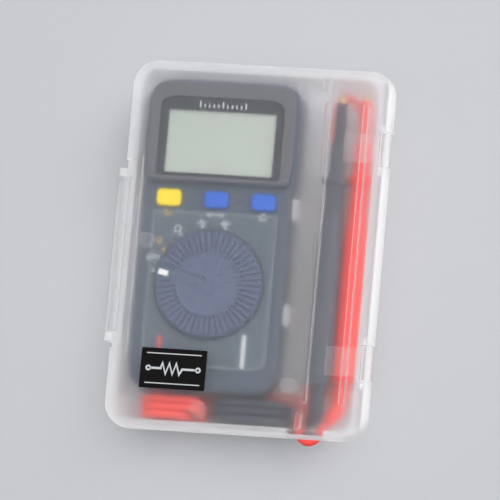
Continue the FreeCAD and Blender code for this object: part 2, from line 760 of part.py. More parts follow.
ribs = [bead(x, "-rib_l / 2", "rib_l / 2") for x in ("rib_left_x", "rib_right_x")]
flat_end = f"({END} - lid_edge_r)"
gusset_beads = [bead("gusset_x", f"{flat_end} - gusset_l", flat_end),
                bead("gusset_x", f"-{flat_end}", f"-{flat_end} + gusset_l")]
solid(lid, "beads", "XY", "case_h - root_depth", "case_h + bead_h", ribs + gusset_beads)
round_edges(lid, "bead_edges", "bead_edge_r", at_level("case_h + bead_h"))
solid(lid, "ribs_inside", "XY", f"{LID_UNDER} - rib_depth", f"{LID_UNDER} + root_depth", ribs)
in_lip = f"({TRAY_E} - base_wall - side_clear)"
solid(lid, "gussets_inside", "XY", f"{LID_UNDER} - gusset_depth", f"{LID_UNDER} + root_depth",
      [bead("gusset_x", f"{in_lip} - gusset_l", in_lip), bead("gusset_x", f"-{in_lip}", f"-{in_lip} + gusset_l")])
cut(lid, "ejector_marks", "XY", LID_UNDER, f"{LID_UNDER} + mark_depth",
    [(f"mark_{mark}_x", f"mark_{mark}_y", "mark_r") for mark in "abcd"])
cut(lid, "hinge_cores", "XY", LID_UNDER, f"{LID_UNDER} + mark_depth",
    [rect(f"{RIGHT} - core_l", f"{y} - core_w / 2", f"{RIGHT} - core_gap", f"{y} + core_w / 2")
     for y in ("-hinge_y", "hinge_y")])

label = piece("lid_label", CASE_X)
label_x = f"({LEFT} + label_in)"
label_y = f"(label_up - {END})"
solid(label, "label", "XY", "case_h", "case_h + label_t", [
    rect(f"{label_x} - label_w / 2", f"{label_y} - label_l / 2",
         f"{label_x} + label_w / 2", f"{label_y} + label_l / 2", "label_r")])


# Clasp: a bar that turns on two stub pins in the base's ears and closes in front of the lid's ledge.

clasp = piece("lid_clasp", CASE_X)
clasp_lo = "(clasp_y - clasp_l / 2)"
clasp_hi = "(clasp_y + clasp_l / 2)"
hook_top = f"({HOOK_Z} + clasp_t)"
solid(clasp, "bar", "XZ", clasp_lo, clasp_hi, [[
    (CLASP_OUT, f"{PIVOT_Z} - clasp_pivot_r", "clasp_pivot_r * full_round"),
    (f"{PIVOT_X} + clasp_pivot_r", f"{PIVOT_Z} - clasp_pivot_r", "clasp_pivot_r * full_round"),
    (f"{PIVOT_X} + clasp_pivot_r", f"{PIVOT_Z} + clasp_pivot_r", "clasp_edge_r"),
    (f"{CLASP_OUT} + clasp_t", f"{PIVOT_Z} + clasp_pivot_r + clasp_web", "clasp_edge_r"),
    (f"{CLASP_OUT} + clasp_t", HOOK_Z, "clasp_edge_r"), (CLASP_IN, HOOK_Z, "clasp_edge_r"),
    (CLASP_IN, hook_top, "clasp_edge_r"), (CLASP_OUT, hook_top, "clasp_top_r")]])
for number in (0, 1):
    ridge_x = f"({CLASP_OUT} + clasp_ridge_x + {number} * clasp_ridge_pitch)"
    solid(clasp, f"ridge_{number}", "XZ", clasp_lo, clasp_hi, [
        rect(f"{ridge_x} - clasp_ridge_w / 2", f"{hook_top} - root_depth", f"{ridge_x} + clasp_ridge_w / 2",
             f"{hook_top} + clasp_ridge", "clasp_ridge_w / 2 * full_round")])
solid(clasp, "pin_low", "XZ", f"{clasp_lo} - clasp_pin_l", f"{clasp_lo} + clasp_pin_root",
      [(PIVOT_X, PIVOT_Z, "clasp_pin_r")])
solid(clasp, "pin_high", "XZ", f"{clasp_hi} - clasp_pin_root", f"{clasp_hi} + clasp_pin_l",
      [(PIVOT_X, PIVOT_Z, "clasp_pin_r")])


# Meter housing, in the meter's own frame: back at z = 0, middle of its length at y = 0.

def meter_piece(label, x="0", y="0", z="0"):
    """A sub-part placed from the meter's back."""
    return piece(label, f"{CASE_X} + {METER_X} + {x}", f"{METER_Y} + {y}", f"{METER_Z} + {z}")


def meter_outline(inset="0"):
    """Outline of the meter: a body with a wider head, moved inwards."""
    body_x = f"(meter_w / 2 - ({inset}))"
    head_x = f"(head_w / 2 - ({inset}))"
    end_y = f"(meter_l / 2 - ({inset}))"
    corner = f"(meter_corner_r - ({inset}))"
    slope = "head_slope / 2"
    low_y = "head_low_y"
    high_y = "(head_low_y + head_slope)"
    return [(f"-{body_x}", f"-{end_y}", corner), (body_x, f"-{end_y}", corner), (body_x, low_y, slope),
            (head_x, high_y, slope), (head_x, end_y, corner), (f"-{head_x}", end_y, corner),
            (f"-{head_x}", high_y, slope), (f"-{body_x}", low_y, slope)]


SCREW_SPOTS = [(x, y) for x in ("-boss_x", "boss_x") for y in ("boss_up_y", "boss_low_y")]
BOARD_SPOTS = [("-board_boss_x", "board_boss_y"), ("board_boss_x", "board_boss_y")]
GLAND_SPOTS = [("-gland_x", "meter_split"), ("gland_x", "meter_split")]

front = meter_piece("meter_front_shell")
solid(front, "face", "XY", "meter_split", "meter_face", [meter_outline()])
round_edges(front, "face_edge", "meter_edge_r", at_level("meter_face"))
head_x = "(meter_w / 2 - head_step)"
wide_x = "(head_w / 2 - head_step)"
top_y = "(meter_l / 2 - head_step)"
head_r = "(meter_corner_r - head_step)"
solid(front, "head", "XY", "meter_split", HEAD_Z, [[
    (f"-{head_x}", "head_low_y", "head_foot_r"), (head_x, "head_low_y", "head_foot_r"),
    (wide_x, "head_low_y + head_slope", "head_shoulder_r"), (wide_x, top_y, head_r),
    (f"-{wide_x}", top_y, head_r), (f"-{wide_x}", "head_low_y + head_slope", "head_shoulder_r")]])
round_edges(front, "head_edge", "head_edge_r", at_level(HEAD_Z))
cut(front, "hollow", "XY", "meter_split", UNDER_FACE, [meter_outline("shell_wall")])

frame_x = "(lcd_w / 2 + frame_clear + frame_wall)"
frame_y = "(lcd_l / 2 + frame_clear + frame_wall)"
lcd_mid = f"(head_low_y + shell_wall + frame_slack + {frame_y})"
room_x = f"({frame_x} + frame_slack)"
room_y = f"({frame_y} + frame_slack)"
cut(front, "head_room", "XY", UNDER_FACE, f"{LCD_TOP} + frame_clear", [
    rect(f"-{room_x}", f"{lcd_mid} - {room_y}", room_x, f"{lcd_mid} + {room_y}", "frame_r")])


def lens_outline(margin="0"):
    """Outline of the display lens: a square foot and shouldered top."""
    side = f"(lens_w / 2 + {margin})"
    low = f"(window_y - lens_low - {margin})"
    high = f"(window_y + lens_up + {margin})"
    arch = f"({side} - lens_arch_run)"
    return [(f"-{side}", low, "lens_foot_r"), (side, low, "lens_foot_r"),
            (side, f"{high} - lens_arch", "lens_shoulder_r"), (arch, high, "lens_arch_r"),
            (f"-{arch}", high, "lens_arch_r"), (f"-{side}", f"{high} - lens_arch", "lens_shoulder_r")]


cut(front, "lens_seat", "XY", f"{HEAD_Z} - lens_t", HEAD_Z, [lens_outline("lens_clear")])
cut(front, "window", "XY", LCD_TOP, f"{HEAD_Z} - lens_t", [
    rect("-window_w / 2", "window_y - window_l / 2", "window_w / 2", "window_y + window_l / 2", "window_r")])


def panel_outline(margin="0"):
    """Outline of the face panel, grown by a margin."""
    side = f"(panel_w / 2 + {margin})"
    low = f"(panel_low_y - {margin})"
    high = f"(panel_up_y + {margin})"
    return [(f"-{side}", low, "panel_low_r"), (side, low, "panel_low_r"),
            (side, high, "panel_up_r"), (f"-{side}", high, "panel_up_r")]


cut(front, "panel_seat", "XY", PANEL_FLOOR, "meter_face", [panel_outline("panel_clear")])


def button_hole(place, margin):
    """Outline of a button at its place in the row, grown by a margin."""
    x = f"({place} * button_pitch)"
    half_w = f"(button_w / 2 + {margin})"
    half_l = f"(button_l / 2 + {margin})"
    return rect(f"{x} - {half_w}", f"button_y - {half_l}", f"{x} + {half_w}", f"button_y + {half_l}",
                f"button_r + {margin}")


BUTTON_PLACES = {"select_button": -1, "range_button": 0, "hold_button": 1}
bore_top = f"({UNDER_FACE} - bore_cap)"
boss_top = f"({UNDER_FACE} + root_depth)"
end_face = "(-meter_l / 2)"
cut(front, "button_holes", "XY", UNDER_FACE, "meter_face",
    [button_hole(place, "button_clear") for place in BUTTON_PLACES.values()])
cut(front, "hub_hole", "XY", UNDER_FACE, PANEL_FLOOR, [("0", "dial_y", "hub_r + hub_clear")])
solid(front, "screw_bosses", "XY", "meter_split", boss_top, [(x, y, "boss_r") for x, y in SCREW_SPOTS])
solid(front, "board_bosses", "XY", BOARD_TOP, boss_top, [(x, y, "board_boss_r") for x, y in BOARD_SPOTS])
cut(front, "screw_bores", "XY", "meter_split", bore_top, [(x, y, "screw_r") for x, y in SCREW_SPOTS])
cut(front, "board_bores", "XY", BOARD_TOP, bore_top, [(x, y, "screw_r") for x, y in BOARD_SPOTS])
cut(front, "gland_holes", "XZ", f"{end_face} - overrun", f"{end_face} + shell_wall + overrun",
    [(x, z, "gland_r") for x, z in GLAND_SPOTS])

rear = meter_piece("meter_rear_shell")
solid(rear, "back", "XY", "0", "meter_split", [meter_outline()])
round_edges(rear, "back_edge", "meter_edge_r", at_level("0"))
cut(rear, "rear_hollow", "XY", "shell_wall", "meter_split", [meter_outline("shell_wall")])
head_seat = "(meter_split - screw_grip)"
solid(rear, "rear_bosses", "XY", "shell_wall - root_depth", "meter_split",
      [(x, y, "boss_r") for x, y in SCREW_SPOTS])
cut(rear, "rear_screw_bores", "XY", "0", "meter_split",
    [(x, y, "screw_r + pin_clear") for x, y in SCREW_SPOTS])
cut(rear, "rear_screw_heads", "XY", "0", head_seat,
    [(x, y, "screw_head_r + screw_head_clear") for x, y in SCREW_SPOTS])

door_t = "(shell_wall / 2)"
door_lo = "(cell_y - door_l / 2)"
door_hi = "(cell_y + door_l / 2)"
plug_lo = "(cell_y - cell_r - door_step)"
plug_hi = f"({door_hi} - door_step)"
plug_x = "(door_w / 2 - door_step)"
screw_y = "(cell_y + door_screw_y)"
boss_end = "(shell_wall + door_boss_h)"
cut(rear, "door_seat", "XY", "0", door_t, [rect("-door_w / 2", door_lo, "door_w / 2", door_hi, "door_r")])
cut(rear, "door_hole", "XY", "0", "shell_wall", [rect(f"-{plug_x}", plug_lo, plug_x, plug_hi, "plug_r")])
solid(rear, "door_boss", "XY", "shell_wall - root_depth", boss_end, [("0", screw_y, "door_boss_r")])
cut(rear, "door_bore", "XY", "0", f"{boss_end} - bore_spare", [("0", screw_y, "screw_r")])
cut(rear, "rear_gland_holes", "XZ", f"{end_face} - overrun", f"{end_face} + shell_wall + overrun",
    [(x, z, "gland_r") for x, z in GLAND_SPOTS])

door = meter_piece("battery_door")
solid(door, "door_plate", "XY", "0", door_t, [
    rect("-door_w / 2 + door_clear", f"{door_lo} + door_clear", "door_w / 2 - door_clear",
         f"{door_hi} - door_clear", "door_r - door_clear")])
solid(door, "door_plug", "XY", door_t, "shell_wall", [
    rect(f"-{plug_x} + door_clear", f"{plug_lo} + door_clear", f"{plug_x} - door_clear",
         f"{plug_hi} - door_clear", "plug_r - door_clear")])
cut(door, "door_screw_hole", "XY", "0", door_t, [("0", screw_y, "screw_r + door_clear")])
cut(door, "door_head_seat", "XY", "0", "door_head_h", [("0", screw_y, "screw_head_r + door_clear")])


def add_screws(body, spots, under_head, end, head_h="screw_head_h"):
    """Screws driven upwards, one per spot, with a cross recess in the head."""
    head_lo = f"({under_head} - {head_h})"
    solid(body, "heads", "XY", head_lo, under_head, [(x, y, "screw_head_r") for x, y in spots])
    solid(body, "shanks", "XY", under_head, end, [(x, y, "screw_r") for x, y in spots])
    crossed = (("slots", "slot_l / 2", "slot_w / 2"), ("cross_slots", "slot_w / 2", "slot_l / 2"))
    for name, long, wide in crossed:
        cut(body, name, "XY", head_lo, f"{head_lo} + {head_h} / 2", [
            rect(f"{x} - {long}", f"{y} - {wide}", f"{x} + {long}", f"{y} + {wide}") for x, y in spots])


case_screws = meter_piece("case_screws")
add_screws(case_screws, SCREW_SPOTS, head_seat, f"{bore_top} - bore_spare")
board_screws = meter_piece("board_screws")
add_screws(board_screws, BOARD_SPOTS, "board_under", f"{bore_top} - bore_spare")
door_screw = meter_piece("door_screw")
add_screws(door_screw, [("0", screw_y)], "door_head_h", f"{boss_end} - 2 * bore_spare", "door_head_h")


# Display: lens, glass cell, holder and conductive strip

lens = meter_piece("display_lens")
solid(lens, "lens", "XY", f"{HEAD_Z} - lens_t", HEAD_Z, [lens_outline()])
round_edges(lens, "lens_edge", "lens_edge_r", at_level(HEAD_Z))
glass = meter_piece("display_glass")
solid(glass, "glass", "XY", LCD_UNDER, LCD_TOP, [
    rect("-lcd_w / 2", f"{lcd_mid} - lcd_l / 2", "lcd_w / 2", f"{lcd_mid} + lcd_l / 2")])
holder = meter_piece("display_holder")
inside_x = "(lcd_w / 2 + frame_clear)"
inside_y = "(lcd_l / 2 + frame_clear)"
solid(holder, "holder", "XY", BOARD_TOP, LCD_TOP, [
    rect(f"-{frame_x}", f"{lcd_mid} - {frame_y}", frame_x, f"{lcd_mid} + {frame_y}", "frame_r"),
    rect(f"-{inside_x}", f"{lcd_mid} - {inside_y}", inside_x, f"{lcd_mid} + {inside_y}")])
rest_x = f"({inside_x} + frame_wall / 2)"
solid(holder, "holder_rest", "XY", BOARD_TOP, LCD_UNDER, [
    rect(f"-{rest_x}", f"{lcd_mid} - {inside_y} - frame_wall / 2", rest_x,
         f"{lcd_mid} - lcd_l / 2 + frame_rest")])
zebra = meter_piece("zebra_strip")
zebra_hi = f"({lcd_mid} + lcd_l / 2)"
solid(zebra, "strip", "XY", BOARD_TOP, LCD_UNDER, [
    rect("-zebra_l / 2", f"{zebra_hi} - zebra_t", "zebra_l / 2", zebra_hi)])

panel = meter_piece("face_panel")
solid(panel, "panel", "XY", PANEL_FLOOR, f"{PANEL_FLOOR} + panel_t", [
    panel_outline(), ("0", "dial_y", "dial_r + dial_well")])


# Circuit board and the parts on it

board = meter_piece("circuit_board")
solid(board, "board", "XY", "board_under", BOARD_TOP, [meter_outline("shell_wall + board_gap")])
cut(board, "boss_notches", "XY", "board_under", BOARD_TOP,
    [(x, y, "boss_r + board_clear") for x, y in SCREW_SPOTS])
notch_y = f"({end_face} + shell_wall + gland_flange_t + side_clear)"
cut(board, "gland_notches", "XY", "board_under", BOARD_TOP, [
    rect(f"{x} - gland_flange_r - side_clear", end_face, f"{x} + gland_flange_r + side_clear", notch_y)
    for x, z in GLAND_SPOTS])
cut(board, "board_holes", "XY", "board_under", BOARD_TOP,
    [(x, y, "screw_r + pin_clear") for x, y in BOARD_SPOTS])
chip = meter_piece("control_chip")
solid(chip, "chip", "XY", BOARD_TOP, f"{BOARD_TOP} + chip_t", [
    rect("-chip_w / 2", "window_y - chip_w / 2", "chip_w / 2", "window_y + chip_w / 2", "chip_r")])
buzzer = meter_piece("buzzer_disc")
solid(buzzer, "buzzer", "XY", "shell_wall", "shell_wall + buzzer_t", [("0", "buzzer_y", "buzzer_r")])
cell = meter_piece("coin_cell")
cell_under = "(shell_wall + cell_lift)"
cell_top = f"({cell_under} + cell_t)"
solid(cell, "cell", "XY", cell_under, cell_top, [("0", "cell_y", "cell_r")])
round_edges(cell, "cell_edge", "cell_edge_r", at_level(cell_under))
cell_holder = meter_piece("cell_holder")
ring_in = "(cell_r + cell_clear)"
ring_out = f"({ring_in} + holder_wall)"
solid(cell_holder, "cell_ring", "XY", f"{cell_under} + ring_lift", "board_under", [
    ("0", "cell_y", ring_out), ("0", "cell_y", ring_in)])
minus = meter_piece("contact_minus")
foot_y = "(cell_y + minus_foot_y)"
foot_end = f"({foot_y} + minus_foot)"
solid(minus, "minus_leaf", "XY", cell_top, f"{cell_top} + contact_t", [
    rect("-minus_w / 2", "cell_y - minus_reach", "minus_w / 2", foot_end, "minus_r")])
solid(minus, "minus_foot", "XY", cell_top, "board_under", [
    rect("-minus_w / 2 + minus_r", foot_y, "minus_w / 2 - minus_r", foot_end)])
plus = meter_piece("contact_plus")
solid(plus, "plus_leaf", "XY", f"{cell_under} + plus_lift", "board_under", [
    rect("-plus_w / 2", f"cell_y + {ring_out}", "plus_w / 2", f"cell_y + {ring_out} + contact_t")])
ptc = meter_piece("ptc_limiter")
solid(ptc, "ptc", "XY", BOARD_TOP, f"{BOARD_TOP} + ptc_h", [
    rect("-gland_x - ptc_r", "parts_row_y - ptc_t / 2", "-gland_x + ptc_r", "parts_row_y + ptc_t / 2",
         "ptc_edge_r")])
trimmer = meter_piece("trimmer")
trimmer_top = f"({BOARD_TOP} + trimmer_h)"
solid(trimmer, "trimmer_case", "XY", BOARD_TOP, trimmer_top, [
    rect("gland_x - trimmer_w / 2", "parts_row_y - trimmer_w / 2", "gland_x + trimmer_w / 2",
         "parts_row_y + trimmer_w / 2", "trimmer_edge_r")])
cut(trimmer, "trimmer_slot", "XY", f"{trimmer_top} - trimmer_slot_depth", trimmer_top, [
    rect("gland_x - trimmer_slot_l / 2", "parts_row_y - trimmer_slot_w / 2", "gland_x + trimmer_slot_l / 2",
         "parts_row_y + trimmer_slot_w / 2")])


# Dial: knob on a hub, pointer marker, contact rotor, wipers and detent leaf, all turning together

def dial_piece(label):
    """A sub-part placed on the dial's axis, from the meter's back."""
    return meter_piece(label, y="dial_y")


knob = dial_piece("dial_knob")
knob_under = f"({PANEL_FLOOR} + dial_gap)"
knob_top = "(meter_face + dial_top)"
hub_foot = f"({UNDER_FACE} - rotor_gap - rotor_t)"
disc_z = f"({knob_top} - dial_dish)"
turned(knob, "knob", "XZ", [[
    ("0", hub_foot, "0"), ("hub_r", hub_foot, "0"), ("hub_r", knob_under, "0"),
    ("dial_r - dial_flare", knob_under, "dial_edge_r"),
    ("dial_r", f"{knob_top} - dial_bevel_h", "dial_edge_r"),
    ("dial_r - dial_bevel", knob_top, "dial_edge_r"), ("dial_disc_r + dial_step", knob_top, "0"),
    ("dial_disc_r", disc_z, "0"), ("0", disc_z, "0")]])
groove = cut(knob, "groove", "XY", f"{knob_top} - dial_groove_depth", knob_top, [
    rect("dial_disc_r + dial_land", "-dial_groove_w / 2", "dial_r + overrun", "dial_groove_w / 2",
         "dial_edge_r")])
polar(knob, "grooves", groove, groove.Profile[0], "dial_grooves")


def turned_rect(x0, x1, half, angle):
    """Corners of a rectangle along a ray at an angle, in degrees."""
    ends = ((x0, f"-({half})"), (x1, f"-({half})"), (x1, half), (x0, half))
    return [(f"({x}) * cos({angle} * 1 deg) - ({y}) * sin({angle} * 1 deg)",
             f"({x}) * sin({angle} * 1 deg) + ({y}) * cos({angle} * 1 deg)", "0") for x, y in ends]


pointer_floor = f"({disc_z} - pointer_depth)"
cut(knob, "pointer", "XY", pointer_floor, knob_top, [
    turned_rect("pointer_in", "dial_r + overrun", "pointer_w / 2", "rest_angle")])
marker = dial_piece("dial_marker")
solid(marker, "marker", "XY", pointer_floor, f"{pointer_floor} + pointer_depth", [
    turned_rect("marker_r - marker_l / 2", "marker_r + marker_l / 2", "marker_w / 2", "rest_angle")])

rotor = dial_piece("dial_rotor")
rotor_top = f"({hub_foot} + rotor_t)"
solid(rotor, "rotor", "XY", hub_foot, rotor_top, [("0", "0", "rotor_r"), ("0", "0", "hub_r")])
wipers = dial_piece("dial_wipers")
wiper_in = "(hub_r + wiper_hub_gap)"
wiper_out = "(rotor_r - wiper_rim_gap)"
blade_under = f"({hub_foot} - wiper_t)"
blade = solid(wipers, "blade", "XY", blade_under, hub_foot, [
    rect(wiper_in, "-wiper_w / 2", wiper_out, "wiper_w / 2")])
polar(wipers, "blades", blade, blade.Profile[0], "wiper_count")
toe = solid(wipers, "toe", "XY", f"{BOARD_TOP} + wiper_gap", blade_under, [
    rect(f"{wiper_out} - wiper_w", "-wiper_w / 2", wiper_out, "wiper_w / 2")])
polar(wipers, "toes", toe, toe.Profile[0], "wiper_count")
detent = dial_piece("detent_leaf")
detent_r = "(rotor_r - detent_rim)"
solid(detent, "leaf", "XY", rotor_top, f"{rotor_top} + detent_t", [
    ("0", "0", detent_r), ("0", "0", f"{detent_r} - detent_w")])


# Buttons with a lip under the shell, and the contact domes below them

foot_z = f"({UNDER_FACE} - side_clear - button_lip_t)"
for label, place in BUTTON_PLACES.items():
    button = meter_piece(label)
    solid(button, "cap", "XY", foot_z, "meter_face + button_top", [button_hole(place, "0")])
    round_edges(button, "cap_edge", "button_edge_r", at_level("meter_face + button_top"))
    solid(button, "lip", "XY", foot_z, f"{foot_z} + button_lip_t", [button_hole(place, "button_lip")])
domes = meter_piece("button_domes")
dome_top = f"({foot_z} - button_travel - dome_gap)"
dome_step = f"(({BOARD_TOP} + {dome_top}) / 2)"
for name, low, high, radius in (("dome_feet", BOARD_TOP, dome_step, "dome_r"),
                                ("dome_tops", dome_step, dome_top, "dome_top_r")):
    solid(domes, name, "XY", low, high,
          [(f"{place} * button_pitch", "button_y", radius) for place in BUTTON_PLACES.values()])


# Lead glands in the near end wall, probes, and the leads

for label, side in (("red_gland", "-gland_x"), ("black_gland", "gland_x")):
    gland = meter_piece(label, side, "-meter_l / 2", "meter_split")
    turned(gland, "gland", "XY", [[
        ("0", "-gland_out", "0"), ("lead_r + gland_neck", "-gland_out", "gland_edge_r"),
        ("gland_r + gland_collar", "0", "0"), ("gland_r", "0", "0"),
        ("gland_r", "shell_wall", "0"), ("gland_flange_r", "shell_wall", "0"),
        ("gland_flange_r", "shell_wall + gland_flange_t", "gland_edge_r"),
        ("0", "shell_wall + gland_flange_t", "0")]])

waist_y = "(probe_l - guard_t)"
nose_y = "(probe_l + nose_l)"
sleeve_y = f"({nose_y} + sleeve_l)"
tip_y = f"({sleeve_y} + tip_l)"
GRIP_RINGS = 4


def grip_rings():
    """Corners of the ring grooves below the guard, from the handle's end towards the guard."""
    corners = []
    for step in reversed(range(GRIP_RINGS)):
        high = f"({waist_y} - ring_start - {step} * ring_pitch - ring_land)"
        low = f"({waist_y} - ring_start - {step + 1} * ring_pitch + ring_land / 2)"
        corners += [("probe_waist_r", low, "0"), ("probe_waist_r - ring_depth", f"{low} + ring_slope", "0"),
                    ("probe_waist_r - ring_depth", f"{high} - ring_slope", "0"), ("probe_waist_r", high, "0")]
    return corners


for colour, x, butt, z in (("black", BLACK_X, "black_butt_y", BLACK_Z), ("red", RED_X, "red_butt_y", RED_Z)):
    at = (f"{CASE_X} + {x}", butt, z)
    butt_end = [("0", "0", "0"), ("probe_r - probe_butt_in", "0", "probe_butt_r"),
                ("probe_r", "probe_butt_l", "probe_butt_r"), ("probe_r", "probe_l - probe_taper_l", "0")]
    guard = [("probe_waist_r", waist_y, "0"), ("guard_r", waist_y, "guard_edge_r"),
             ("guard_r", "probe_l", "guard_edge_r")]
    nose = [("nose_r", "probe_l + guard_slope", "0"), ("nose_r", nose_y, "guard_edge_r"), ("0", nose_y, "0")]
    handle = piece(f"{colour}_probe_handle", *at)
    turned(handle, "handle", "XY", [butt_end + grip_rings() + guard + nose])
    sleeve = piece(f"{colour}_probe_sleeve", *at)
    turned(sleeve, "sleeve", "XY", [[
        ("tip_r", nose_y, "0"), ("sleeve_r", nose_y, "0"), ("sleeve_r", sleeve_y, "sleeve_edge_r"),
        ("tip_r", sleeve_y, "0")]])
    tip = piece(f"{colour}_probe_tip", *at)
    turned(tip, "tip", "XY", [[
        ("0", nose_y, "0"), ("tip_r", nose_y, "0"), ("tip_r", f"{tip_y} - tip_l / 2", "0"),
        ("tip_point_r", tip_y, "0"), ("0", tip_y, "0")]])

coil_foot = "(base_floor + coil_lift)"


def coil_outline(width, inset="0"):
    """A round-ended outline of a coil, seen along the case, moved inwards."""
    half = f"({width} / 2 - {inset})"
    return rect(f"-{half}", f"{coil_foot} + {inset}", half, f"{coil_foot} + coil_h - {inset}",
                f"(coil_h / 2 - {inset}) * full_round")


def at_depth(formula):
    """A test for edges that lie at one place along the case."""
    level = size(formula)

    def test(edge):
        box = edge.BoundBox
        return abs(box.YMin - level) < 1e-4 and abs(box.YMax - level) < 1e-4
    return test


for colour in ("red", "black"):
    coil = piece(f"{colour}_lead_coil", f"{CASE_X} + {colour}_coil_x")
    solid(coil, "ring", "XZ", "-coil_near - coil_l", "-coil_near", [
        coil_outline(f"{colour}_coil_w"), coil_outline(f"{colour}_coil_w", f"{colour}_coil_t")])
    round_edges(coil, "near_edges", "coil_edge_r", at_depth("-coil_near - coil_l"))
    round_edges(coil, "far_edges", "coil_edge_r", at_depth("-coil_near"))
doc.recompute()

GLAND_END = (size(f"{METER_Y} - meter_l / 2 - gland_out"), size(f"{METER_Z} + meter_split"))
RED_GLAND_X = size(f"{METER_X} - gland_x")
BLACK_GLAND_X = size(f"{METER_X} + gland_x")
RED_BUTT = FreeCAD.Vector(size(RED_X), size("red_butt_y"), size(RED_Z))
BLACK_BUTT = FreeCAD.Vector(size(BLACK_X), size("black_butt_y"), size(BLACK_Z))
BOOT_BENDS = {
    "red": [FreeCAD.Vector(0, 0, 0), FreeCAD.Vector(0, -5.5, 0), FreeCAD.Vector(-1.2, -10.2, 0.6),
            FreeCAD.Vector(-3.4, -13.6, 1.6)],
    "black": [FreeCAD.Vector(0, 0, 0), FreeCAD.Vector(0, -5.5, 0), FreeCAD.Vector(-0.2, -10.0, -0.8),
              FreeCAD.Vector(-1.5, -12.0, -3.0)],
}


def past_boot(end, bends, reach):
    """A point straight beyond the end of a boot."""
    way = (bends[-1] - bends[-2]).normalize()
    return tuple(end + bends[-1] + way * reach)


ROUTES = {
    "red_lead_start": [
        (RED_GLAND_X, GLAND_END[0], GLAND_END[1]), (RED_GLAND_X, -57.0, GLAND_END[1]), (-26.0, -58.2, 9.0),
        (-21.0, -58.2, 8.2), (-17.7, -58.2, 11.2), (-18.2, -58.2, 15.4), (-21.5, -58.2, 18.2)],
    "red_lead_run": [
        (-24.0, -52.8, 3.0), (-18.0, -52.3, 3.0), (-13.2, -49.8, 3.0), (-6.0, -48.6, 3.0), (6.0, -48.2, 3.0),
        (16.0, -48.6, 3.0), (24.0, -47.6, 3.0), (30.5, -45.0, 3.0), (34.0, -39.0, 3.0), (34.4, -25.0, 3.0),
        (34.2, 11.0, 3.0), (34.4, 30.0, 3.0), (33.9, 44.0, 3.4), (33.2, 50.5, 5.0), (30.6, 55.2, 7.6),
        (27.0, 56.8, 10.0), (24.6, 54.0, 11.8), (24.2, 48.0, 12.2), (24.2, 41.0, 11.8), (24.8, 33.0, 10.2),
        (25.6, 26.0, 9.0), (26.3, 13.0, 6.6), (26.4, 2.0, 4.4), (26.4, -8.0, 3.2), (26.0, -20.0, 3.0),
        (25.6, -33.0, 3.0), (24.4, -38.5, 3.4), (22.2, -43.5, 4.8), (21.0, -48.4, 6.9), (20.7, -53.4, 9.6),
        (20.6, -57.0, 12.4), (20.6, -60.4, 14.8), (21.6, -63.2, 15.8), (24.7, -64.5, 16.1), (27.9, -62.9, 15.6),
        past_boot(RED_BUTT, BOOT_BENDS["red"], 2.6), past_boot(RED_BUTT, BOOT_BENDS["red"], 0)],
    "black_lead_start": [
        (BLACK_GLAND_X, GLAND_END[0], GLAND_END[1]), (BLACK_GLAND_X, -57.0, GLAND_END[1]), (3.4, -58.2, 9.2),
        (7.4, -58.2, 6.4), (11.6, -58.2, 5.8)],
    "black_lead_run": [
        (4.0, -58.2, 3.05), (11.0, -58.3, 3.05), (16.0, -58.4, 3.4), (20.2, -58.5, 5.4), (22.8, -58.6, 8.4),
        past_boot(BLACK_BUTT, BOOT_BENDS["black"], 2.0), past_boot(BLACK_BUTT, BOOT_BENDS["black"], 0)],
}
TIGHT = 0.45


def rounded_path(name, points):
    """Straight runs joined by arcs that are as large as their runs allow."""
    radii = []
    edges = []
    last = points[0]
    for before, corner, after in zip(points, points[1:], points[2:]):
        back = before - corner
        ahead = after - corner
        half_turn = (math.pi - back.getAngle(ahead)) / 2
        radius = TIGHT * min(back.Length, ahead.Length) / math.tan(half_turn)
        start, middle, end = corner_arc(before, corner, after, radius)
        edges.append(Part.LineSegment(last, start).toShape())
        edges.append(Part.Arc(start, middle, end).toShape())
        radii.append(round(radius, 1))
        last = end
    edges.append(Part.LineSegment(last, points[-1]).toShape())
    print(name, "radii", radii)
    return Part.Wire(edges)


def bent_tube(label, points, radius):
    """A round rod along a path, square at both ends."""
    path = rounded_path(label, points)
    start_way = (points[1] - points[0]).normalize()
    ring = Part.Wire(Part.makeCircle(radius, points[0], start_way))
    tube = path.makePipeShell([ring], True, True)
    share = tube.Volume / (math.pi * radius ** 2 * path.Length)
    print(label, "length", round(path.Length, 1), "volume share", round(share, 4))
    rod = doc.addObject("Part::Feature", label)
    rod.Label = label
    rod.Shape = tube
    rod.Placement = FreeCAD.Placement(FreeCAD.Vector(size(CASE_X), 0, 0), FreeCAD.Rotation())
    PIECES.append(rod)


for colour, end in (("red", RED_BUTT), ("black", BLACK_BUTT)):
    bent_tube(f"{colour}_probe_boot", [end + bend for bend in BOOT_BENDS[colour]], size("boot_r"))
for label, route in ROUTES.items():
    bent_tube(label, [FreeCAD.Vector(*point) for point in route], size("lead_r"))

doc.recompute()
failed = [each.Name for each in doc.Objects if "Invalid" in each.State or "Error" in each.State]
failed += [each.Label for each in PIECES if each.Shape.isNull() or not each.Shape.isValid()]
if failed:
    raise RuntimeError("failed: " + ", ".join(failed))
os.makedirs("parts", exist_ok=True)
for each in PIECES:
    each.Shape.exportStep(os.path.join("parts", each.Label + ".step"))
    box = each.Shape.BoundBox
    corners = (box.XMin, box.XMax, box.YMin, box.YMax, box.ZMin, box.ZMax)
    print(each.Label, len(each.Shape.Solids), "solids", [round(value, 2) for value in corners])
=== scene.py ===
# %% [markdown]
# # A pocket multimeter in its frosted storage case
#
# The object is a small meter with two captive test leads, packed in a flat hinged box of milky
# plastic. The solids come from a CAD model, so this lesson does not rebuild them. It lays the leads,
# prints the face, gives every piece its finish, and lights the whole.

# %% Load the solids
import math

import bmesh
import bpy
from mathutils import Matrix, Vector


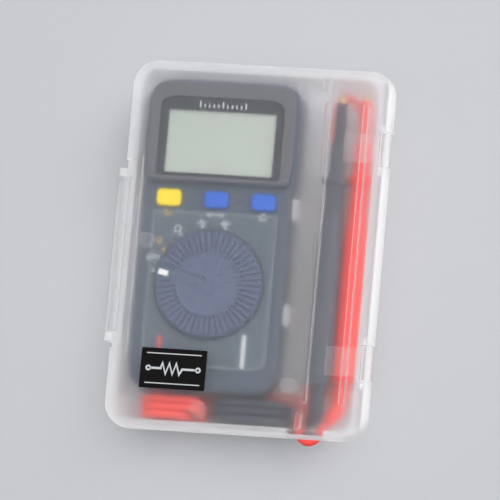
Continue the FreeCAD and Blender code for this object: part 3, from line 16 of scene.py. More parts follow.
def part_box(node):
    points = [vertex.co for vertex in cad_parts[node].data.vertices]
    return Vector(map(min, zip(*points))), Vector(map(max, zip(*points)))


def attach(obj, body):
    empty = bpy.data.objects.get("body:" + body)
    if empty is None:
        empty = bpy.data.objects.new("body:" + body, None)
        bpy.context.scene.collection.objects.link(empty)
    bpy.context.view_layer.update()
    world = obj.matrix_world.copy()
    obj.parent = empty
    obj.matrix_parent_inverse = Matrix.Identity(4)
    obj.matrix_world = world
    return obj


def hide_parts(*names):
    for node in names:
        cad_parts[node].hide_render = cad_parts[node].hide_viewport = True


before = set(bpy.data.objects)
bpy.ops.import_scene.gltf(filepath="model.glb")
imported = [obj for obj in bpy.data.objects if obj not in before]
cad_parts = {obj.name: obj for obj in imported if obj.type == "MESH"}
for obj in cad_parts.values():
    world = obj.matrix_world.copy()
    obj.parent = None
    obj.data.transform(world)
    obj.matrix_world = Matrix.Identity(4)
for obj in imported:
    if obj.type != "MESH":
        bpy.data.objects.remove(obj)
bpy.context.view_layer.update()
MM = 0.001


# %% [markdown]
# ## Camera
#
# The photograph looks almost straight down with a long lens. A camera could be turned by eye until
# the corners fit, but three angles say the same thing and stay readable: how far it tilts, to which
# side of the picture it leans, and how far the case lies turned on the table.

# %% Camera
TILT = math.radians(13.76)
LEAN = math.radians(45)
TURN = math.radians(4.25)
VIEW_WIDTH = 172 * MM
STAND_OFF = 3.0
CLIP_END = 20
LID_BEAD = 0.5 * MM
AIM_RIGHT = 0.275 * MM
AIM_UP = -0.55 * MM

lid_low, lid_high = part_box("case_lid")
lid_middle = (lid_low + lid_high) / 2
lid_middle.z = lid_high.z - LID_BEAD

heading = TURN - LEAN
away = Vector((math.sin(TILT) * math.cos(heading), math.sin(TILT) * math.sin(heading), math.cos(TILT)))
across = Vector((-math.sin(heading), math.cos(heading), 0))
along = across.cross(away)
right = math.cos(LEAN) * along + math.sin(LEAN) * across
up = math.cos(LEAN) * across - math.sin(LEAN) * along
aim = lid_middle + AIM_RIGHT * right + AIM_UP * up

lens = bpy.data.cameras.new("camera")
lens.lens = lens.sensor_width * STAND_OFF / VIEW_WIDTH
lens.clip_end = CLIP_END
camera = bpy.data.objects.new("camera", lens)
camera.matrix_world = Matrix((right, up, away)).transposed().to_4x4()
camera.location = aim + STAND_OFF * away
bpy.context.scene.collection.objects.link(camera)
bpy.context.scene.camera = camera
print("camera lens in mm:", round(lens.lens, 1))


# %% [markdown]
# ## Test leads
#
# Each lead is one soft PVC wire, moulded into the meter at one end and into its probe at the other.
# It is coiled on edge in the gap between the meter and the near end of the case, and the rest lies
# along the case. A NURBS curve is right for it, because the wire bends smoothly and its control
# points are easy to move. The turns of a coil are worked out by a loop from a few stations, each an
# angle, a radius and a place along the case, so that no turn runs through another.

# %% Lead helpers
WIRE = 2.6 * MM
POINTS_PER_TURN = 15
STEPS_ALONG = 8
STEPS_ROUND = 4
LEAD_ORIGIN_X = 1.35


def at_station(stations, angle):
    """Radius and place along the case of a coil at an angle, between the two stations around it."""
    for (a, r0, y0), (b, r1, y1) in zip(stations, stations[1:]):
        if a <= angle <= b:
            share = (angle - a) / (b - a)
            return r0 + share * (r1 - r0), y0 + share * (y1 - y0)


def coil_points(middle, straight, stations):
    """Control points of a round-ended coil on edge; it turns anticlockwise as seen from the near end."""
    step = 360 / POINTS_PER_TURN
    swell = 1 / math.cos(math.radians(step / 2))
    first, last = stations[0][0], stations[-1][0]
    points = []
    for number in range(1, int((last - first) / step)):
        angle = first + number * step
        radius, depth = at_station(stations, angle)
        turn = math.radians(angle)
        end = straight if math.cos(turn) > 0 else -straight
        points.append((middle[0] + end + swell * radius * math.cos(turn), depth,
                       middle[1] + swell * radius * math.sin(turn)))
    return points


def lay_lead(name, points):
    """One smooth wire along control points in mm, from an origin to the right of the case's middle."""
    curve = bpy.data.curves.new(name, "CURVE")
    curve.dimensions = "3D"
    spline = curve.splines.new("NURBS")
    spline.points.add(len(points) - 1)
    for point, (x, y, z) in zip(spline.points, points):
        point.co = ((x + LEAD_ORIGIN_X) * MM, y * MM, z * MM, 1)
        point.radius = WIRE / 2
    spline.order_u = 3
    spline.use_endpoint_u = True
    spline.resolution_u = STEPS_ALONG
    curve.bevel_depth = 1  # times each point's radius
    curve.bevel_resolution = STEPS_ROUND
    curve.use_fill_caps = True
    lead = bpy.data.objects.new(name, curve)
    bpy.context.scene.collection.objects.link(lead)
    return lead


# %% Red lead
RED_START = [(-28.6, -51.3, 12.8), (-28.6, -57, 12.8), (-26, -58.2, 9), (-21, -58.2, 8.2),
             (-17.7, -58.2, 11.2), (-18.2, -58.2, 15.4), (-21.5, -58.2, 18.2)]
RED_MIDDLE = (-23.9, 10.7)
RED_STRAIGHT = 3.0
RED_STATIONS = [(84, 7.65, -58.2), (360, 7.65, -58.2), (400, 7.65, -55.5), (720, 7.65, -55.5),
                (760, 7.65, -52.8), (996, 7.65, -52.8)]
RED_RUN = [(-24, -52.8, 3), (-18, -52.3, 3), (-13.2, -49.8, 3), (-6, -48.6, 3), (6, -48.2, 3), (16, -48.6, 3),
           (24, -47.6, 3), (30.5, -45, 3), (34, -39, 3), (34.4, -25, 3), (34.2, 11, 3), (34.4, 30, 3),
           (33.9, 44, 3.4), (33.2, 50.5, 5), (30.6, 55.8, 7.6), (26.6, 57.4, 10), (24.4, 54.4, 11.8),
           (24.2, 48, 12.2), (24.2, 41, 11.8), (24.8, 33, 10.2), (25.6, 26, 9), (26.3, 13, 6.6), (26.4, 2, 4.4),
           (26.4, -8, 3.2), (26, -20, 3), (25.6, -33, 3), (24.4, -38.5, 3.4), (22.2, -43.5, 4.8),
           (21, -48.4, 6.9), (20.7, -53.4, 9.6), (20.6, -57, 12.4), (20.9, -60.6, 14.8), (21.8, -63.7, 15.8),
           (24.9, -65.2, 16.1), (28.1, -63.3, 15.6), (29.64, -58.71, 13.99), (31, -56.6, 13.4)]
red_coil = coil_points(RED_MIDDLE, RED_STRAIGHT, RED_STATIONS)
red_lead = lay_lead("red_lead", RED_START + red_coil + RED_RUN)
print("red lead control points:", len(red_lead.data.splines[0].points))

# %% Black lead
BLACK_START = [(1, -51.3, 12.8), (1, -57, 12.8), (3.4, -58.2, 9.2), (7.4, -58.2, 6.4), (11.6, -58.2, 5.8)]
BLACK_MIDDLE = (3.6, 10.7)
BLACK_STRAIGHT = 5.8
BLACK_STATIONS = [(300, 4.95, -58.2), (600, 4.95, -58.2), (640, 4.95, -55.5), (960, 4.95, -55.5),
                  (1000, 4.95, -52.8), (1350, 4.95, -52.8), (1395, 7.65, -52.8), (1680, 7.65, -52.8),
                  (1710, 7.65, -55.5), (2040, 7.65, -55.5), (2080, 7.65, -58.2), (2454, 7.65, -58.2)]
BLACK_RUN = [(4, -58.2, 3.05), (11, -58.3, 3.05), (16, -58.4, 3.4), (20.2, -58.5, 5.4), (22.8, -58.6, 8.4),
             (24.35, -58.32, 11.97), (25.2, -57, 13.4)]
black_coil = coil_points(BLACK_MIDDLE, BLACK_STRAIGHT, BLACK_STATIONS)
black_lead = lay_lead("black_lead", BLACK_START + black_coil + BLACK_RUN)
print("black lead control points:", len(black_lead.data.splines[0].points))


def line_length(lead):
    """Length of the wire's middle line, measured on a copy without its round section."""
    curve = lead.data.copy()
    curve.bevel_depth = 0
    bare = bpy.data.objects.new("bare_line", curve)
    mesh = bpy.data.meshes.new_from_object(bare)
    length = sum((mesh.vertices[e.vertices[0]].co - mesh.vertices[e.vertices[1]].co).length for e in mesh.edges)
    bpy.data.objects.remove(bare)
    bpy.data.meshes.remove(mesh)
    return length


for lead, colour in ((red_lead, "red"), (black_lead, "black")):
    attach(lead, "case")
    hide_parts(f"{colour}_lead_start", f"{colour}_lead_coil", f"{colour}_lead_run")
    length = line_length(lead)
    print(colour, "lead is", round(length, 3), "m long")


# %% [markdown]
# ## Floor and light
#
# The case lies on plain pale grey paper under large soft lamps. The largest hangs overhead, so light
# reaches the floor of the case between its tall neighbours. The key lamp beyond the top right of the
# picture gives the near edge a faint shadow. A low rim lamp at the right is seen only as a shine on
# the hinged edge. Big area lamps are chosen over the sun lamp, because frosted plastic shows how soft
# its light is. The world gives the rest: dim all round, white to rays that have passed through clear
# plastic, and the grey of the paper to the camera wherever the floor ends.

# %% Floor
FLOOR_HALF = 4.0
FLOOR_GAP = 0.1 * MM
FIBRE_SCALE = 900
FIBRE_SHADE = 0.015


def srgb(red, green, blue):
    """A colour written as on a screen, 0 to 255, turned into the linear values that Blender works in."""
    linear = []
    for value in (red, green, blue):
        share = value / 255
        linear.append(share / 12.92 if share <= 0.04045 else ((share + 0.055) / 1.055) ** 2.4)
    return (*linear, 1)


def place(tree, kind, **inputs):
    """Adds a node and sets its plain inputs by name, with _ for a blank."""
    node = tree.nodes.new(kind)
    for name, value in inputs.items():
        node.inputs[name.replace("_", " ")].default_value = value
    return node


def start_material(name):
    """An empty material with its output node."""
    material = bpy.data.materials.new(name)
    material.use_nodes = True
    tree = material.node_tree
    tree.nodes.clear()
    return material, tree, tree.nodes.new("ShaderNodeOutputMaterial")


PAPER = srgb(205, 207, 211)
floor_mesh = bpy.data.meshes.new("floor")
corners = [(x * FLOOR_HALF, y * FLOOR_HALF, -FLOOR_GAP) for x, y in ((-1, -1), (1, -1), (1, 1), (-1, 1))]
floor_mesh.from_pydata(corners, [], [(0, 1, 2, 3)])
floor = bpy.data.objects.new("floor", floor_mesh)
bpy.context.scene.collection.objects.link(floor)
paper, tree, output = start_material("pale_paper")
fibre = place(tree, "ShaderNodeTexNoise", Scale=FIBRE_SCALE, Detail=4)
where = tree.nodes.new("ShaderNodeTexCoord")
tint = place(tree, "ShaderNodeHueSaturation", Color=PAPER)
lift = place(tree, "ShaderNodeMapRange", To_Min=1 - FIBRE_SHADE, To_Max=1 + FIBRE_SHADE)
surface = place(tree, "ShaderNodeBsdfPrincipled", Roughness=0.9, Specular_IOR_Level=0.2)
tree.links.new(where.outputs["Object"], fibre.inputs["Vector"])
tree.links.new(fibre.outputs["Fac"], lift.inputs["Value"])
tree.links.new(lift.outputs["Result"], tint.inputs["Value"])
tree.links.new(tint.outputs["Color"], surface.inputs["Base Color"])
tree.links.new(surface.outputs["BSDF"], output.inputs["Surface"])
floor_mesh.materials.append(paper)


# %% Lamps and world
def soft_lamp(name, place_at, size, power, shine=True, light=True):
    """A square area lamp that looks at the case and is not seen by the camera."""
    lamp = bpy.data.lights.new(name, "AREA")
    lamp.size = size
    lamp.energy = power
    holder = bpy.data.objects.new(name, lamp)
    holder.location = place_at
    holder.rotation_euler = (lid_middle - Vector(place_at)).to_track_quat("-Z", "Y").to_euler()
    holder.visible_camera = False
    holder.visible_glossy = shine
    holder.visible_diffuse = light
    holder.visible_transmission = False
    bpy.context.scene.collection.objects.link(holder)


soft_lamp("top_lamp", (0.1, 0.15, 1.4), size=1.6, power=8.6, shine=False)
soft_lamp("key_lamp", (0.85, 0.6, 1.0), size=0.9, power=7)
soft_lamp("fill_lamp", (-0.9, -0.35, 0.9), size=0.8, power=1.5)
soft_lamp("rim_lamp", (1.2, 0.25, 0.75), size=0.9, power=4, light=False)

WHITE = (1, 1, 1, 1)
ROOM_LIGHT = 0.4
world = bpy.data.worlds.new("studio")
bpy.context.scene.world = world
world.use_nodes = True
air = world.node_tree
air.nodes.clear()
around = place(air, "ShaderNodeBackground", Color=WHITE, Strength=ROOM_LIGHT)
through_case = place(air, "ShaderNodeBackground", Color=WHITE, Strength=1)
backdrop = place(air, "ShaderNodeBackground", Color=PAPER, Strength=1)
rays = air.nodes.new("ShaderNodeLightPath")
inside = air.nodes.new("ShaderNodeMixShader")
choose = air.nodes.new("ShaderNodeMixShader")
world_output = air.nodes.new("ShaderNodeOutputWorld")
air.links.new(rays.outputs["Is Transmission Ray"], inside.inputs["Fac"])
air.links.new(around.outputs["Background"], inside.inputs[1])
air.links.new(through_case.outputs["Background"], inside.inputs[2])
air.links.new(rays.outputs["Is Camera Ray"], choose.inputs["Fac"])
air.links.new(inside.outputs["Shader"], choose.inputs[1])
air.links.new(backdrop.outputs["Background"], choose.inputs[2])
air.links.new(choose.outputs["Shader"], world_output.inputs["Surface"])
bpy.context.scene.view_settings.view_transform = "Standard"
print("lamps and world ready")


# %% [markdown]
# ## Shared effects
#
# Seven effects come back in several finishes, so each is a node group with named sockets: the sparked
# grain of a mould, fine handling scratches, settled dust, the drawn lines of metal, and three masks
# for where a moulding looks whiter. Its walls are thicker to look through than its flat sheets, the
# lid's hinged edge carries a painted highlight between clear knuckles, and faint marks are pressed
# into the lid from below. A group gives out colours, masks and heights only. The shader stays in each
# material, where its constants are easy to find.

# %% Group helper
def start_group(name, inputs, outputs):
    """A shader node group with named sockets; an input is a name and its usual value."""
    group = bpy.data.node_groups.new(name, "ShaderNodeTree")
    for label, value in inputs.items():
        kind = "NodeSocketColor" if isinstance(value, tuple) else "NodeSocketFloat"
        socket = group.interface.new_socket(label, in_out="INPUT", socket_type=kind)
        socket.default_value = value
    for label in outputs:
        kind = "NodeSocketColor" if label == "Colour" else "NodeSocketFloat"
        group.interface.new_socket(label, in_out="OUTPUT", socket_type=kind)
    return group, group.nodes.new("NodeGroupInput"), group.nodes.new("NodeGroupOutput")


def work_out(tree, operation, first, second):
    """A maths node on two sockets or numbers; gives its result socket."""
    node = tree.nodes.new("ShaderNodeMath")
    node.operation = operation
    for number, value in enumerate((first, second)):
        if isinstance(value, (int, float)):
            node.inputs[number].default_value = value
        else:
            tree.links.new(value, node.inputs[number])
    return node.outputs["Value"]


def ramp(tree, start, end):
    """A node that goes from 0 at one value to 1 at another."""
    return place(tree, "ShaderNodeMapRange", From_Min=start, From_Max=end)


# %% Moulded grain
MIDDLE_GREY = (0.5, 0.5, 0.5, 1)
BROAD_PATCH = 70
grain_group, into, out = start_group(
    "moulded_grain",
    {"Colour": MIDDLE_GREY, "Mottle": 0.05, "Grain": 3000.0, "Roughness": 0.5, "Spread": 0.1},
    ["Colour", "Roughness", "Height"])
where = grain_group.nodes.new("ShaderNodeTexCoord")
fine = place(grain_group, "ShaderNodeTexNoise", Detail=2, Roughness=0.6)
broad = place(grain_group, "ShaderNodeTexNoise", Scale=BROAD_PATCH, Detail=3)
tint = place(grain_group, "ShaderNodeHueSaturation")
grain_group.links.new(where.outputs["Object"], fine.inputs["Vector"])
grain_group.links.new(where.outputs["Object"], broad.inputs["Vector"])
grain_group.links.new(into.outputs["Grain"], fine.inputs["Scale"])
both = work_out(grain_group, "ADD", fine.outputs["Fac"], broad.outputs["Fac"])
offset = work_out(grain_group, "SUBTRACT", both, 1.0)
shade = work_out(grain_group, "MULTIPLY", offset, into.outputs["Mottle"])
value = work_out(grain_group, "ADD", shade, 1.0)
grain_group.links.new(value, tint.inputs["Value"])
grain_group.links.new(into.outputs["Colour"], tint.inputs["Color"])
grain_group.links.new(tint.outputs["Color"], out.inputs["Colour"])
uneven = work_out(grain_group, "MULTIPLY", offset, into.outputs["Spread"])
rough = work_out(grain_group, "ADD", uneven, into.outputs["Roughness"])
grain_group.links.new(rough, out.inputs["Roughness"])
grain_group.links.new(fine.outputs["Fac"], out.inputs["Height"])

# %% Handling scratches
SCRATCH_TURNS = (0.5, -1.1)
SCRATCH_STRETCH = 40
scratch_group, into, out = start_group("handling_scratches", {"Scale": 60.0, "Amount": 0.5}, ["Mask"])
where = scratch_group.nodes.new("ShaderNodeTexCoord")
masks = []
for turn in SCRATCH_TURNS:
    stretch = scratch_group.nodes.new("ShaderNodeMapping")
    stretch.inputs["Rotation"].default_value = (0, 0, turn)
    stretch.inputs["Scale"].default_value = (1, SCRATCH_STRETCH, 1)
    lines = place(scratch_group, "ShaderNodeTexNoise", Detail=2)
    keep = ramp(scratch_group, 0.64, 0.72)
    scratch_group.links.new(where.outputs["Object"], stretch.inputs["Vector"])
    scratch_group.links.new(stretch.outputs["Vector"], lines.inputs["Vector"])
    scratch_group.links.new(into.outputs["Scale"], lines.inputs["Scale"])
    scratch_group.links.new(lines.outputs["Fac"], keep.inputs["Value"])
    masks.append(keep.outputs["Result"])
crossed = work_out(scratch_group, "MAXIMUM", masks[0], masks[1])
scratch_group.links.new(work_out(scratch_group, "MULTIPLY", crossed, into.outputs["Amount"]), out.inputs["Mask"])

# %% Settled dust
dust_group, into, out = start_group("settled_dust", {"Speck": 2600.0, "Amount": 0.5}, ["Mask"])
where = dust_group.nodes.new("ShaderNodeTexCoord")
specks = place(dust_group, "ShaderNodeTexVoronoi")
small = ramp(dust_group, 0.16, 0.1)
patches = place(dust_group, "ShaderNodeTexNoise", Scale=240, Detail=2)
thin = ramp(dust_group, 0.6, 0.7)
normal = dust_group.nodes.new("ShaderNodeNewGeometry")
apart = dust_group.nodes.new("ShaderNodeSeparateXYZ")
upward = ramp(dust_group, 0.3, 0.9)
dust_group.links.new(where.outputs["Object"], specks.inputs["Vector"])
dust_group.links.new(where.outputs["Object"], patches.inputs["Vector"])
dust_group.links.new(into.outputs["Speck"], specks.inputs["Scale"])
dust_group.links.new(specks.outputs["Distance"], small.inputs["Value"])
dust_group.links.new(patches.outputs["Fac"], thin.inputs["Value"])
dust_group.links.new(normal.outputs["Normal"], apart.inputs["Vector"])
dust_group.links.new(apart.outputs["Z"], upward.inputs["Value"])
sparse = work_out(dust_group, "MULTIPLY", small.outputs["Result"], thin.outputs["Result"])
lying = work_out(dust_group, "MULTIPLY", sparse, upward.outputs["Result"])
dust_group.links.new(work_out(dust_group, "MULTIPLY", lying, into.outputs["Amount"]), out.inputs["Mask"])

# %% Drawn metal
DRAWN_STRETCH = 0.06
drawn_group, into, out = start_group(
    "drawn_metal", {"Colour": MIDDLE_GREY, "Lines": 1500.0, "Roughness": 0.3, "Spread": 0.2},
    ["Colour", "Roughness", "Height"])
where = drawn_group.nodes.new("ShaderNodeTexCoord")
stretch = drawn_group.nodes.new("ShaderNodeMapping")
stretch.inputs["Scale"].default_value = (1, DRAWN_STRETCH, 1)
lines = place(drawn_group, "ShaderNodeTexNoise", Detail=3)
stain = place(drawn_group, "ShaderNodeTexNoise", Scale=300, Detail=2)
darken = place(drawn_group, "ShaderNodeMapRange", To_Min=0.82, To_Max=1.1)
tint = place(drawn_group, "ShaderNodeHueSaturation")
drawn_group.links.new(where.outputs["Object"], stretch.inputs["Vector"])
drawn_group.links.new(where.outputs["Object"], stain.inputs["Vector"])
drawn_group.links.new(stretch.outputs["Vector"], lines.inputs["Vector"])
drawn_group.links.new(into.outputs["Lines"], lines.inputs["Scale"])
drawn_group.links.new(stain.outputs["Fac"], darken.inputs["Value"])
drawn_group.links.new(darken.outputs["Result"], tint.inputs["Value"])
drawn_group.links.new(into.outputs["Colour"], tint.inputs["Color"])
drawn_group.links.new(tint.outputs["Color"], out.inputs["Colour"])
uneven = work_out(drawn_group, "MULTIPLY", lines.outputs["Fac"], into.outputs["Spread"])
drawn_group.links.new(work_out(drawn_group, "ADD", uneven, into.outputs["Roughness"]), out.inputs["Roughness"])
drawn_group.links.new(lines.outputs["Fac"], out.inputs["Height"])

# %% Walls of a moulding
wall_group, into, out = start_group("moulded_walls", {"Amount": 0.5}, ["Mask"])
where = wall_group.nodes.new("ShaderNodeTexCoord")
apart = wall_group.nodes.new("ShaderNodeSeparateXYZ")
upright = ramp(wall_group, 0.97, 0.75)
wall_group.links.new(where.outputs["Normal"], apart.inputs["Vector"])
wall_group.links.new(work_out(wall_group, "ABSOLUTE", apart.outputs["Z"], 0), upright.inputs["Value"])
wall_group.links.new(work_out(wall_group, "MULTIPLY", upright.outputs["Result"], into.outputs["Amount"]),
                     out.inputs["Mask"])

# %% Painted highlight on the hinged edge, and pressed marks
HINGE_Y = 37.2 * MM
HINGE_GAP = 12.4 * MM
GAP_FADE = 0.2 * MM
RIM_FROM, RIM_TO = 2.3 * MM, 2.0 * MM  # in from the hinged edge
ARM_FROM, ARM_TO = 4.4 * MM, 3.8 * MM  # in from the hinged edge
LID_WALL = 1.4 * MM
MARK_DEPTH = 0.45 * MM
MARK_LEVEL = lid_high.z - LID_BEAD - LID_WALL + MARK_DEPTH
MARK_FROM, MARK_TO = 0.1 * MM, 0.05 * MM

# Rim paints a highlight along the lid's hinged edge, broken at the knuckles; Scale makes the knuckles clearer.
edge_highlight_group, into, out = start_group("hinged_edge_painted_highlight", {"Clearer": 0.9}, ["Rim", "Scale"])
where = edge_highlight_group.nodes.new("ShaderNodeTexCoord")
apart = edge_highlight_group.nodes.new("ShaderNodeSeparateXYZ")
rim = ramp(edge_highlight_group, lid_high.x - RIM_FROM, lid_high.x - RIM_TO)
arm = ramp(edge_highlight_group, lid_high.x - ARM_FROM, lid_high.x - ARM_TO)
solid = ramp(edge_highlight_group, HINGE_GAP / 2 - GAP_FADE, HINGE_GAP / 2 + GAP_FADE)
edge_highlight_group.links.new(where.outputs["Object"], apart.inputs["Vector"])
edge_highlight_group.links.new(apart.outputs["X"], rim.inputs["Value"])
edge_highlight_group.links.new(apart.outputs["X"], arm.inputs["Value"])
from_middle = work_out(edge_highlight_group, "ABSOLUTE", apart.outputs["Y"], 0)
from_knuckle = work_out(edge_highlight_group, "SUBTRACT", from_middle, HINGE_Y)
edge_highlight_group.links.new(work_out(edge_highlight_group, "ABSOLUTE", from_knuckle, 0), solid.inputs["Value"])
edge_highlight_group.links.new(work_out(edge_highlight_group, "MULTIPLY", rim.outputs["Result"], solid.outputs["Result"]),
                     out.inputs["Rim"])
in_gap = work_out(edge_highlight_group, "SUBTRACT", arm.outputs["Result"], solid.outputs["Result"])
knuckle = work_out(edge_highlight_group, "MAXIMUM", in_gap, 0)
clearer = work_out(edge_highlight_group, "MULTIPLY", knuckle, into.outputs["Clearer"])
edge_highlight_group.links.new(work_out(edge_highlight_group, "SUBTRACT", 1, clearer), out.inputs["Scale"])

mark_group, into, out = start_group("pressed_marks", {"Level": 0.0, "Amount": 0.3}, ["Mask"])
where = mark_group.nodes.new("ShaderNodeTexCoord")
apart = mark_group.nodes.new("ShaderNodeSeparateXYZ")
near = ramp(mark_group, MARK_FROM, MARK_TO)
mark_group.links.new(where.outputs["Object"], apart.inputs["Vector"])
off_level = work_out(mark_group, "SUBTRACT", apart.outputs["Z"], into.outputs["Level"])
mark_group.links.new(work_out(mark_group, "ABSOLUTE", off_level, 0), near.inputs["Value"])
mark_group.links.new(work_out(mark_group, "MULTIPLY", near.outputs["Result"], into.outputs["Amount"]),
                     out.inputs["Mask"])
print("node groups:", len(bpy.data.node_groups))


# %% [markdown]
# ## Frosted polypropylene
#
# The case is thin polypropylene from a sparked mould. It lets light through, but each point of what
# lies behind it is smeared, a little close by and much further down. Rough transmission does just
# that. The milky veil is the part of the light that does not pass, so the shader keeps some plain
# reflection too, and the masks of walls, hinged edge and pressed marks say where it keeps more. Along
# the hinged edge that white is a painted highlight between the knuckles. Lamps would need very many
# samples to find their way through rough plastic, so shadow rays see it as a tinted sheet.

# %% Plastic helpers
SPARK_GRAIN = 7000
CLEAR_IOR = 1.49
MILK = srgb(252, 252, 253)
MILK_GLOW = 0.3
# How strongly the painted highlight whitens the hinged edge.
RIM_PAINTED_HIGHLIGHT = 0.95
SHADOW_TINT = srgb(252, 252, 252)


def use_group(tree, group, **values):
    """Places a node group in a material with this material's own values."""
    node = tree.nodes.new("ShaderNodeGroup")
    node.node_tree = group
    for name, value in values.items():
        node.inputs[name].default_value = value
    return node


def bump(tree, height, depth):
    """Turns a height between 0 and 1 into a surface normal, for a grain of that depth in metres."""
    node = place(tree, "ShaderNodeBump", Strength=1, Distance=depth)
    tree.links.new(height, node.inputs["Height"])
    return node.outputs["Normal"]


def let_lamps_in(tree, output, surface, share, tint):
    """Shows a shader as it is, and as a tinted clear sheet to that share of the shadow rays."""
    rays = tree.nodes.new("ShaderNodeLightPath")
    clear = place(tree, "ShaderNodeBsdfTransparent", Color=tint)
    choose = tree.nodes.new("ShaderNodeMixShader")
    tree.links.new(work_out(tree, "MULTIPLY", rays.outputs["Is Shadow Ray"], share), choose.inputs["Fac"])
    tree.links.new(surface, choose.inputs[1])
    tree.links.new(clear.outputs["BSDF"], choose.inputs[2])
    tree.links.new(choose.outputs["Shader"], output.inputs["Surface"])


def frosted(name, passes, roughness, grain_depth, whiteness, mark=0.0):
    """Milky plastic; passes is the light let through, whiteness and mark whiten its walls and pressed marks."""
    material, tree, output = start_material(name)
    grain = use_group(tree, grain_group, Colour=MILK, Mottle=0.03, Grain=SPARK_GRAIN, Roughness=roughness,
                      Spread=0.015)
    walls = use_group(tree, wall_group, Amount=whiteness)
    edge = use_group(tree, edge_highlight_group)
    marks = use_group(tree, mark_group, Level=MARK_LEVEL, Amount=mark)
    sheet = place(tree, "ShaderNodeBsdfPrincipled", Transmission_Weight=passes, IOR=CLEAR_IOR,
                  Specular_IOR_Level=0.25)
    milk = place(tree, "ShaderNodeBsdfPrincipled", IOR=CLEAR_IOR)
    glow = tree.nodes.new("ShaderNodeBsdfTranslucent")
    cloudy = place(tree, "ShaderNodeMixShader", Fac=MILK_GLOW)
    whiten = tree.nodes.new("ShaderNodeMixShader")
    normal = bump(tree, grain.outputs["Height"], grain_depth)
    for surface in (sheet, milk):
        tree.links.new(grain.outputs["Colour"], surface.inputs["Base Color"])
        tree.links.new(grain.outputs["Roughness"], surface.inputs["Roughness"])
    tree.links.new(normal, sheet.inputs["Normal"])
    tree.links.new(grain.outputs["Colour"], glow.inputs["Color"])
    tree.links.new(milk.outputs["BSDF"], cloudy.inputs[1])
    tree.links.new(glow.outputs["BSDF"], cloudy.inputs[2])
    white = work_out(tree, "MULTIPLY", walls.outputs["Mask"], edge.outputs["Scale"])
    # The hinged edge is whitened here as a painted highlight.
    white = work_out(tree, "MAXIMUM", white, work_out(tree, "MULTIPLY", edge.outputs["Rim"], RIM_PAINTED_HIGHLIGHT))
    tree.links.new(work_out(tree, "MAXIMUM", white, marks.outputs["Mask"]), whiten.inputs["Fac"])
    tree.links.new(sheet.outputs["BSDF"], whiten.inputs[1])
    tree.links.new(cloudy.outputs["Shader"], whiten.inputs[2])
    let_lamps_in(tree, output, whiten.outputs["Shader"], 1, SHADOW_TINT)
    return material


# %% Case finishes
case_plastic = frosted("case_plastic", passes=0.985, roughness=0.37, grain_depth=0.012 * MM, whiteness=0.2,
                       mark=0.1)
tray_plastic = frosted("tray_plastic", passes=0.8, roughness=0.34, grain_depth=0.012 * MM, whiteness=0.42)
clasp_plastic = frosted("clasp_plastic", passes=0.985, roughness=0.28, grain_depth=0.003 * MM, whiteness=0.05)
print("case finishes:", case_plastic.name, tray_plastic.name, clasp_plastic.name)


# %% [markdown]
# ## Moulded, soft and printed plastics
#
# The meter's shells, dial, probes and small parts are opaque plastic or rubber. They differ in
# colour, in the size of their grain and in gloss, so one function takes those and wires the same
# groups. Dust lies on faces that look up, and handling leaves faint scratches in the gloss.

# %% Opaque plastics
PLASTIC_IOR = 1.5
FINE_GRAIN = 5000
SILKY = 0.003 * MM
DUST = srgb(190, 188, 182)
MOTTLE = 0.06
SPREAD = 0.12
HEAD_FADE = 0.2 * MM


def plastic(name, colour, roughness, grain=FINE_GRAIN, depth=SILKY, mottle=MOTTLE, scratch=0.1, dust=0.1, coat=0.0,
            gloss=0.5):
    """Opaque plastic or rubber with a moulded grain."""
    material, tree, output = start_material(name)
    skin = use_group(tree, grain_group, Colour=colour, Mottle=mottle, Grain=grain, Roughness=roughness,
                     Spread=SPREAD)
    scratches = use_group(tree, scratch_group, Scale=70, Amount=scratch)
    specks = use_group(tree, dust_group, Speck=2200, Amount=dust)
    surface = place(tree, "ShaderNodeBsdfPrincipled", IOR=PLASTIC_IOR, Coat_Weight=coat, Coat_Roughness=0.2,
                    Specular_IOR_Level=gloss)
    whiten = place(tree, "ShaderNodeMix")
    whiten.data_type = "RGBA"
    whiten.inputs["B"].default_value = DUST
    tree.links.new(specks.outputs["Mask"], whiten.inputs["Factor"])
    tree.links.new(skin.outputs["Colour"], whiten.inputs["A"])
    tree.links.new(whiten.outputs["Result"], surface.inputs["Base Color"])
    tree.links.new(work_out(tree, "ADD", skin.outputs["Roughness"], scratches.outputs["Mask"]),
                   surface.inputs["Roughness"])
    tree.links.new(bump(tree, skin.outputs["Height"], depth), surface.inputs["Normal"])
    tree.links.new(surface.outputs["BSDF"], output.inputs["Surface"])
    return material


def head_tone_with_painted_flank_shade(name, low_and_flank_shade_colour, high_colour, level, roughness, grain, depth):
    """Moulded plastic: its lower face and, as painted shade, its sloped flanks have one colour; its flat head
    another.
    """
    material, tree, output = start_material(name)
    where = tree.nodes.new("ShaderNodeTexCoord")
    apart = tree.nodes.new("ShaderNodeSeparateXYZ")
    above = ramp(tree, level - HEAD_FADE, level)
    walls = use_group(tree, wall_group, Amount=1)
    choose = place(tree, "ShaderNodeMix")
    choose.data_type = "RGBA"
    choose.inputs["A"].default_value = low_and_flank_shade_colour
    choose.inputs["B"].default_value = high_colour
    skin = use_group(tree, grain_group, Mottle=MOTTLE, Grain=grain, Roughness=roughness, Spread=SPREAD)
    surface = place(tree, "ShaderNodeBsdfPrincipled", IOR=PLASTIC_IOR, Specular_IOR_Level=0.4)
    tree.links.new(where.outputs["Object"], apart.inputs["Vector"])
    tree.links.new(apart.outputs["Z"], above.inputs["Value"])
    # Flanks are given the darker lower colour as painted shade.
    flat = work_out(tree, "SUBTRACT", above.outputs["Result"], walls.outputs["Mask"])
    tree.links.new(work_out(tree, "MAXIMUM", flat, 0), choose.inputs["Factor"])
    tree.links.new(choose.outputs["Result"], skin.inputs["Colour"])
    tree.links.new(skin.outputs["Colour"], surface.inputs["Base Color"])
    tree.links.new(skin.outputs["Roughness"], surface.inputs["Roughness"])
    tree.links.new(bump(tree, skin.outputs["Height"], depth), surface.inputs["Normal"])
    tree.links.new(surface.outputs["BSDF"], output.inputs["Surface"])
    return material


